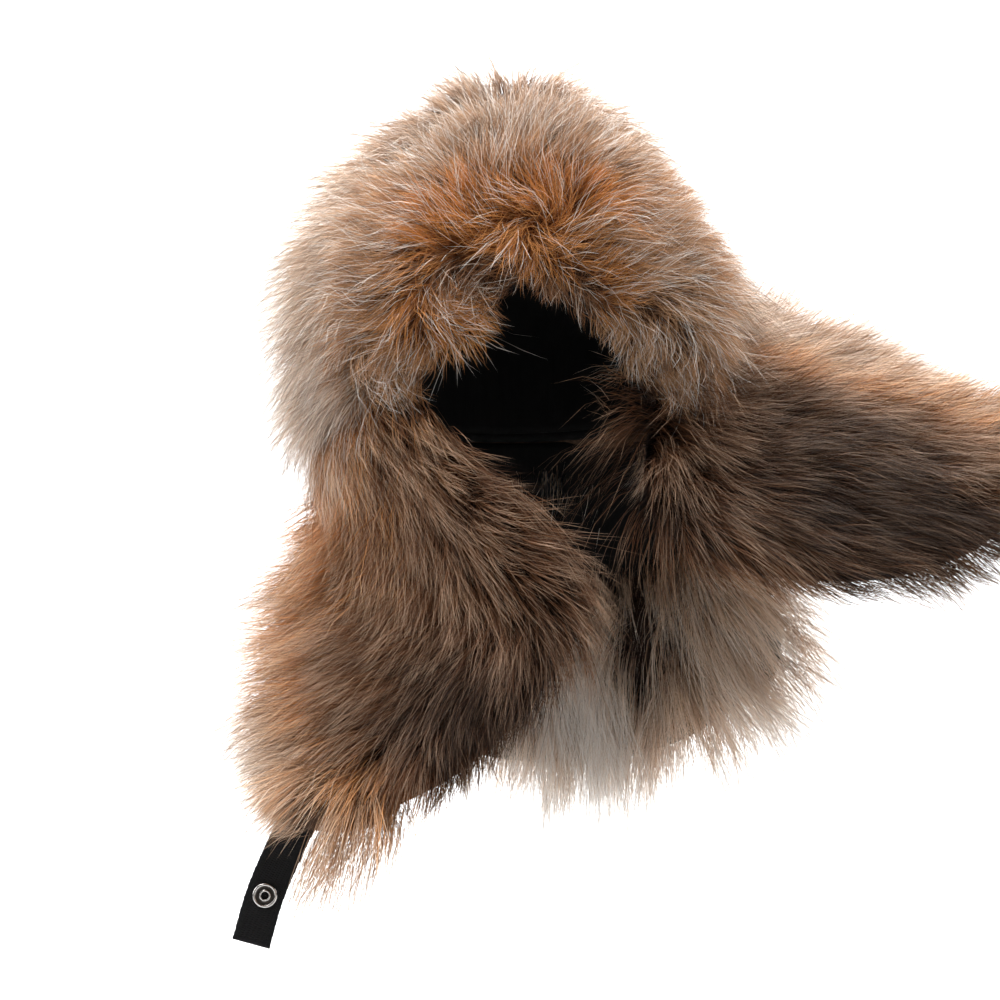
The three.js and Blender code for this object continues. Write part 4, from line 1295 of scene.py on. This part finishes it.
class HAT_OT_left_flap(bpy.types.Operator):
    """Underfur and hair of the lifted ear flap"""
    bl_idname = "hat.left_flap"
    bl_label = "Left ear flap fur"

    def execute(self, context):
        settings = context.scene.hat_fur
        undercoat("left_flap_undercoat", "left", "flap_fur", LEFT_FLAP_TONE, "ear_flap_fur_left")

        def lie(t, angle):
            cheek = smooth(0.45 * np.pi, 0.95 * np.pi, angle) * (1 - smooth(0.1, 0.42, t))
            saddle = smooth(0.35 * np.pi, 0, angle) * smooth(0.06, 0.16, t) * (1 - smooth(0.36, 0.5, t))
            upper = smooth(0.3 * np.pi, 0, angle)
            length = settings.flap_length * (1 + 0.6 * cheek + 0.8 * saddle + 0.25 * upper
                                             + 0.2 * smooth(0.8 * np.pi, np.pi, angle) * smooth(0.4, 0.6, t))
            aside = 0.1 + 0.6 * np.cos(angle) - 0.3 * cheek
            return 1.0 - 1.7 * cheek, aside, 0.1 + 0.4 * cheek, length, 0.95 - 0.1 * cheek

        style = style_of(dark=0.2, width=settings.hair_width, converge=0.62, guard_lift=0.06)
        grid = pelt_patch(LEFT_FLAP, lie, LEFT_FLAP_TONE)
        furred("left_flap_hair", "flap_fur", grid, style, settings.left_hairs, 41, ("crown", "brow"))
        return {"FINISHED"}


class HAT_OT_neck_flap(bpy.types.Operator):
    """Underfur and hair of both sides of the neck flap"""
    bl_idname = "hat.neck_flap"
    bl_label = "Neck flap fur"

    def execute(self, context):
        settings = context.scene.hat_fur
        # The neck's underfur is dark brown all over, tone 0.15: painted shade, which shows through the gap
        # in the inner hair.
        undercoat("neck_flap_undercoat", "neck", "neck_fur", (0.15, []), "neck_flap_fur")

        def lie(t, angle):
            length = settings.neck_length * (1 + 0.6 * smooth(0.75, 1, t))
            return 0.8 * smooth(0.75, 1, t), 0.3 * np.cos(angle), 1.0, length, 1.05

        style = style_of(dark=0.25, width=settings.hair_width, droop=0.12, swirl=0.2, converge=0.6)
        outer_count = settings.neck_hairs // 2
        grid = pelt_patch(NECK_FLAP, lie, NECK_TONE_AND_SHADE)
        furred("neck_hair_outer", "neck_fur", grid, style, outer_count, 53, ("crown", "left", "right"))
        frames = pelt_frames(NECK_FLAP, 60, 6)
        shares = np.linspace(-0.1, 1.0, 40)
        points = inner_grid(NECK_FLAP, frames, shares, 0)
        beside = frames["side"] * (frames["half"] * 0.5)[:, None]
        inside = (frames["centre"] + beside + frames["out"] * 6)[:, None]
        aside = smooth(0.75, 1, frames["t"] / (len(NECK_FLAP["rows"]) - 1))
        comb = (frames["along"] * (0.75 * aside)[:, None] - UP)[:, None] + 0 * points
        # Hair is left out of a narrow gap at x 84, so the dark underfur shows there: painted shade.
        painted_shade_gap = np.exp(-(((points[..., 0] - 84) / 13) ** 2) - ((points[..., 2] + 250) / 48) ** 4)
        x, z = points[..., 0], points[..., 2]
        length = settings.neck_length * (1 + 0.6 * smooth(-215, -275, z) + 0.2 * smooth(90, 120, x))
        length = length * (1 - 0.7 * smooth(28, -5, x))
        inner = patch(points, inside, comb, spotted(points, NECK_TONE_AND_SHADE), length, 1.15,
                      (1 - 0.97 * painted_shade_gap) * (1 + 1.5 * smooth(0.6, 1, shares)[None]))
        style = style_of(dark=0.05, width=settings.hair_width, droop=0.1, swirl=0.25, converge=0.5)
        count = settings.neck_hairs - outer_count
        furred("neck_hair_inner", "neck_fur", inner, style, count, 59, ("left", "right"))
        return {"FINISHED"}


class HAT_OT_linings(bpy.types.Operator):
    """Black cloth of the crown and of the flaps' inner sides, darkened further as painted shade of the
    hollow
    """
    bl_idname = "hat.linings"
    bl_label = "Linings"

    def execute(self, context):
        colour = tuple(context.scene.hat_cloth.lining_and_shade_colour)
        cloth = cloth_material("Lining cloth", colour, 1400, 1400, False)
        finish_piece(solid_object("cap_lining", cap_lining()), "lining_cloth", cloth, "lining_cap")
        finish_piece(ring_object("rim_binding", binding_loops()), "lining_cloth", cloth)
        panels = (
            ("right_flap_lining", RIGHT_FLAP, 0.6, 0.15, 0.95, "ear_flap_lining_right"),
            ("left_flap_lining", LEFT_FLAP, 0.6, 0.35, 0.95, "ear_flap_lining_left"),
            ("neck_lining", NECK_FLAP, 0.9, 0.05, 0.05, "neck_flap_lining"),
        )
        for name, pelt, drop, first, last_share, node in panels:
            made = solid_object(name, panel_loops(pelt, drop, first, last_share))
            finish_piece(made, "lining_cloth", cloth, node)
        return {"FINISHED"}


class HAT_OT_straps(bpy.types.Operator):
    """Webbing straps with their stitching"""
    bl_idname = "hat.straps"
    bl_label = "Straps"

    def execute(self, context):
        settings = context.scene.hat_cloth
        colour = tuple(settings.webbing_colour)
        webbing = cloth_material("Webbing", colour, 46, 95, True, depth=0.0005)
        thread = cloth_material("Thread", tuple(c * 1.6 for c in colour), 900, 900, False)
        tree = stitch_tree("Stitch row", settings.stitch_length, settings.stitch_spacing, thread)
        for side, points in (("right", STRAP_RIGHT), ("left", STRAP_LEFT)):
            finish_piece(strap_object(f"{side}_strap", points), "webbing", webbing, f"strap_{side}")
            made = stitched(f"{side}_strap_stitches", strap_stitch_lines(points), tree)
            finish_piece(made, "webbing", thread)
        return {"FINISHED"}


class HAT_OT_snaps(bpy.types.Operator):
    """Snap rings with a plain dark face"""
    bl_idname = "hat.snaps"
    bl_label = "Snaps"

    def execute(self, context):
        plate = metal_material("Snap plate", (0.62, 0.60, 0.58), 0.18)
        dark = metal_material("Snap face", (0.05, 0.045, 0.04), 0.3)
        for side, points in (("right", STRAP_RIGHT), ("left", STRAP_LEFT)):
            made = turned(f"{side}_snap", snap_profile(), snap_place(points), 72, (plate, dark))
            finish_piece(made, "snap_metal", plate, f"snap_{side}")
        return {"FINISHED"}


# The sweep in millimetres: its front edge, where it starts to bend up, the bend, its top and half its width.
SWEEP = {"front": -2600, "bend_from": 900, "bend": 700, "top": 2600, "half_width": 3200}
HAT_MIDDLE = Vector((-0.007, 0, -0.19))
BACKDROP_MIDDLE = Vector((0.0, 1.5, 0.1))
# Each lamp's name, place, size, power and what it lights, in metres and watts.
LAMPS = (
    ("Top", (-0.2, 0.1, 1.25), 1.2, 30, HAT_MIDDLE),
    ("Left side", (-1.5, 0.2, 0.3), 1.2, 22, HAT_MIDDLE),
    ("Right side", (1.6, 0.4, 0.5), 1.2, 23, HAT_MIDDLE),
    ("Backdrop", (0.0, 0.6, 1.4), 2.4, 70, BACKDROP_MIDDLE),
    ("Front", (-0.5, -0.9, 1.6), 0.9, 9, HAT_MIDDLE),
    ("Right front", (1.0, -0.8, 1.4), 0.9, 10, HAT_MIDDLE),
)
# Width of the camera's sensor in millimetres, and of what it sees at the hat's middle in metres.
SENSOR_WIDTH = 36
VIEW_WIDTH = 0.55


def aimed(made, place_at, target):
    """Places a lamp or camera so that it looks at its target."""
    made.location = place_at
    made.rotation_euler = (Vector(target) - Vector(place_at)).to_track_quat("-Z", "Y").to_euler()
    bpy.context.scene.collection.objects.link(made)


class HAT_OT_stage(bpy.types.Operator):
    """Floor, backdrop, lights and camera"""
    bl_idname = "hat.stage"
    bl_label = "Stage"

    def execute(self, context):
        settings = context.scene.hat_stage
        floor = settings.floor_height / MM
        bend_from, bend = SWEEP["bend_from"], SWEEP["bend"]
        profile = [(SWEEP["front"], 0), (bend_from, 0)]
        profile += [(bend_from + bend * np.sin(a), bend - bend * np.cos(a))
                    for a in np.radians(np.arange(7.5, 90.1, 7.5))]
        profile += [(bend_from + bend, SWEEP["top"])]
        sides = (-SWEEP["half_width"], SWEEP["half_width"])
        rows = np.array([[[x, y, floor + up] for x in sides] for y, up in profile], float)
        quads = [[2 * k, 2 * k + 1, 2 * k + 3, 2 * k + 2] for k in range(len(profile) - 1)]
        sweep = mesh_object("floor_and_backdrop", rows.reshape(-1, 3), quads)
        material, tree, shader = new_material("Pale floor", 0.9, 0.1)
        coordinates = tree.nodes.new("ShaderNodeTexCoord")
        split = tree.nodes.new("ShaderNodeSeparateXYZ")
        tint = two_colours(tree, (0.6, 0.6, 0.6), (0.95, 0.95, 0.95))
        behind = math_node(tree, "SUBTRACT", split.outputs["Y"], 0.5)
        link_all(tree, [(coordinates.outputs["Object"], split.inputs["Vector"]),
                        (math_node(tree, "MULTIPLY", behind, 2.0), tint.inputs["Factor"]),
                        (tint.outputs["Result"], shader.inputs["Base Color"])])
        # Seen from behind or below, the sweep lets the camera look through to the hat.
        side = tree.nodes.new("ShaderNodeNewGeometry")
        clear = tree.nodes.new("ShaderNodeBsdfTransparent")
        either = tree.nodes.new("ShaderNodeMixShader")
        output = next(node for node in tree.nodes if node.type == "OUTPUT_MATERIAL")
        link_all(tree, [
            (side.outputs["Backfacing"], either.inputs[0]),
            (shader.outputs[0], either.inputs[1]),
            (clear.outputs[0], either.inputs[2]),
            (either.outputs[0], output.inputs["Surface"]),
        ])
        sweep.data.materials.append(material)

        world = bpy.data.worlds.new("Studio")
        context.scene.world = world
        world.use_nodes = True
        back = world.node_tree.nodes["Background"]
        back.inputs["Color"].default_value = (1, 1, 1, 1)
        back.inputs["Strength"].default_value = settings.sky

        for name, at, size, power, target in LAMPS:
            light = bpy.data.lights.new(name, "AREA")
            light.size = size
            light.energy = power
            aimed(bpy.data.objects.new(name, light), at, target)

        azimuth, elevation = settings.camera_azimuth, settings.camera_elevation
        level = np.cos(elevation)
        away = Vector((np.sin(azimuth) * level, -np.cos(azimuth) * level, np.sin(elevation)))
        camera = bpy.data.cameras.new("Camera")
        camera.sensor_width = SENSOR_WIDTH
        camera.lens = SENSOR_WIDTH * settings.camera_distance / VIEW_WIDTH
        camera.clip_end = 20
        holder = bpy.data.objects.new("Camera", camera)
        aimed(holder, HAT_MIDDLE + away * settings.camera_distance, HAT_MIDDLE)
        context.scene.camera = holder
        context.scene.view_settings.view_transform = "Standard"
        return {"FINISHED"}


class HAT_PT_panel(bpy.types.Panel):
    """Makes the hat's pieces and sets their sizes and colours"""
    bl_idname = "HAT_PT_panel"
    bl_label = "Aviator hat"
    bl_space_type = "VIEW_3D"
    bl_region_type = "UI"
    bl_category = "Hat"

    def draw(self, context):
        for group in (context.scene.hat_fur, context.scene.hat_cloth, context.scene.hat_stage):
            box = self.layout.box()
            for name in group.__annotations__:
                box.prop(group, name)
        for operator in OPERATORS:
            self.layout.operator(operator.bl_idname)


OPERATORS = (
    HAT_OT_stage, HAT_OT_crown, HAT_OT_brow, HAT_OT_right_flap, HAT_OT_left_flap, HAT_OT_neck_flap,
    HAT_OT_linings, HAT_OT_straps, HAT_OT_snaps,
)
SETTINGS = {"hat_fur": HatFurSettings, "hat_cloth": HatClothSettings, "hat_stage": HatStageSettings}


def register():
    for name, group in SETTINGS.items():
        bpy.utils.register_class(group)
        setattr(bpy.types.Scene, name, bpy.props.PointerProperty(type=group))
    for item in (*OPERATORS, HAT_PT_panel):
        bpy.utils.register_class(item)


def unregister():
    for item in (HAT_PT_panel, *reversed(OPERATORS)):
        bpy.utils.unregister_class(item)
    for name, group in SETTINGS.items():
        delattr(bpy.types.Scene, name)
        bpy.utils.unregister_class(group)


def main():
    register()
    bpy.ops.hat.stage()
    bpy.ops.hat.crown()
    bpy.ops.hat.brow()
    bpy.ops.hat.right_flap()
    bpy.ops.hat.left_flap()
    bpy.ops.hat.neck_flap()
    bpy.ops.hat.linings()
    bpy.ops.hat.straps()
    bpy.ops.hat.snaps()


if __name__ == "__main__":
    main()
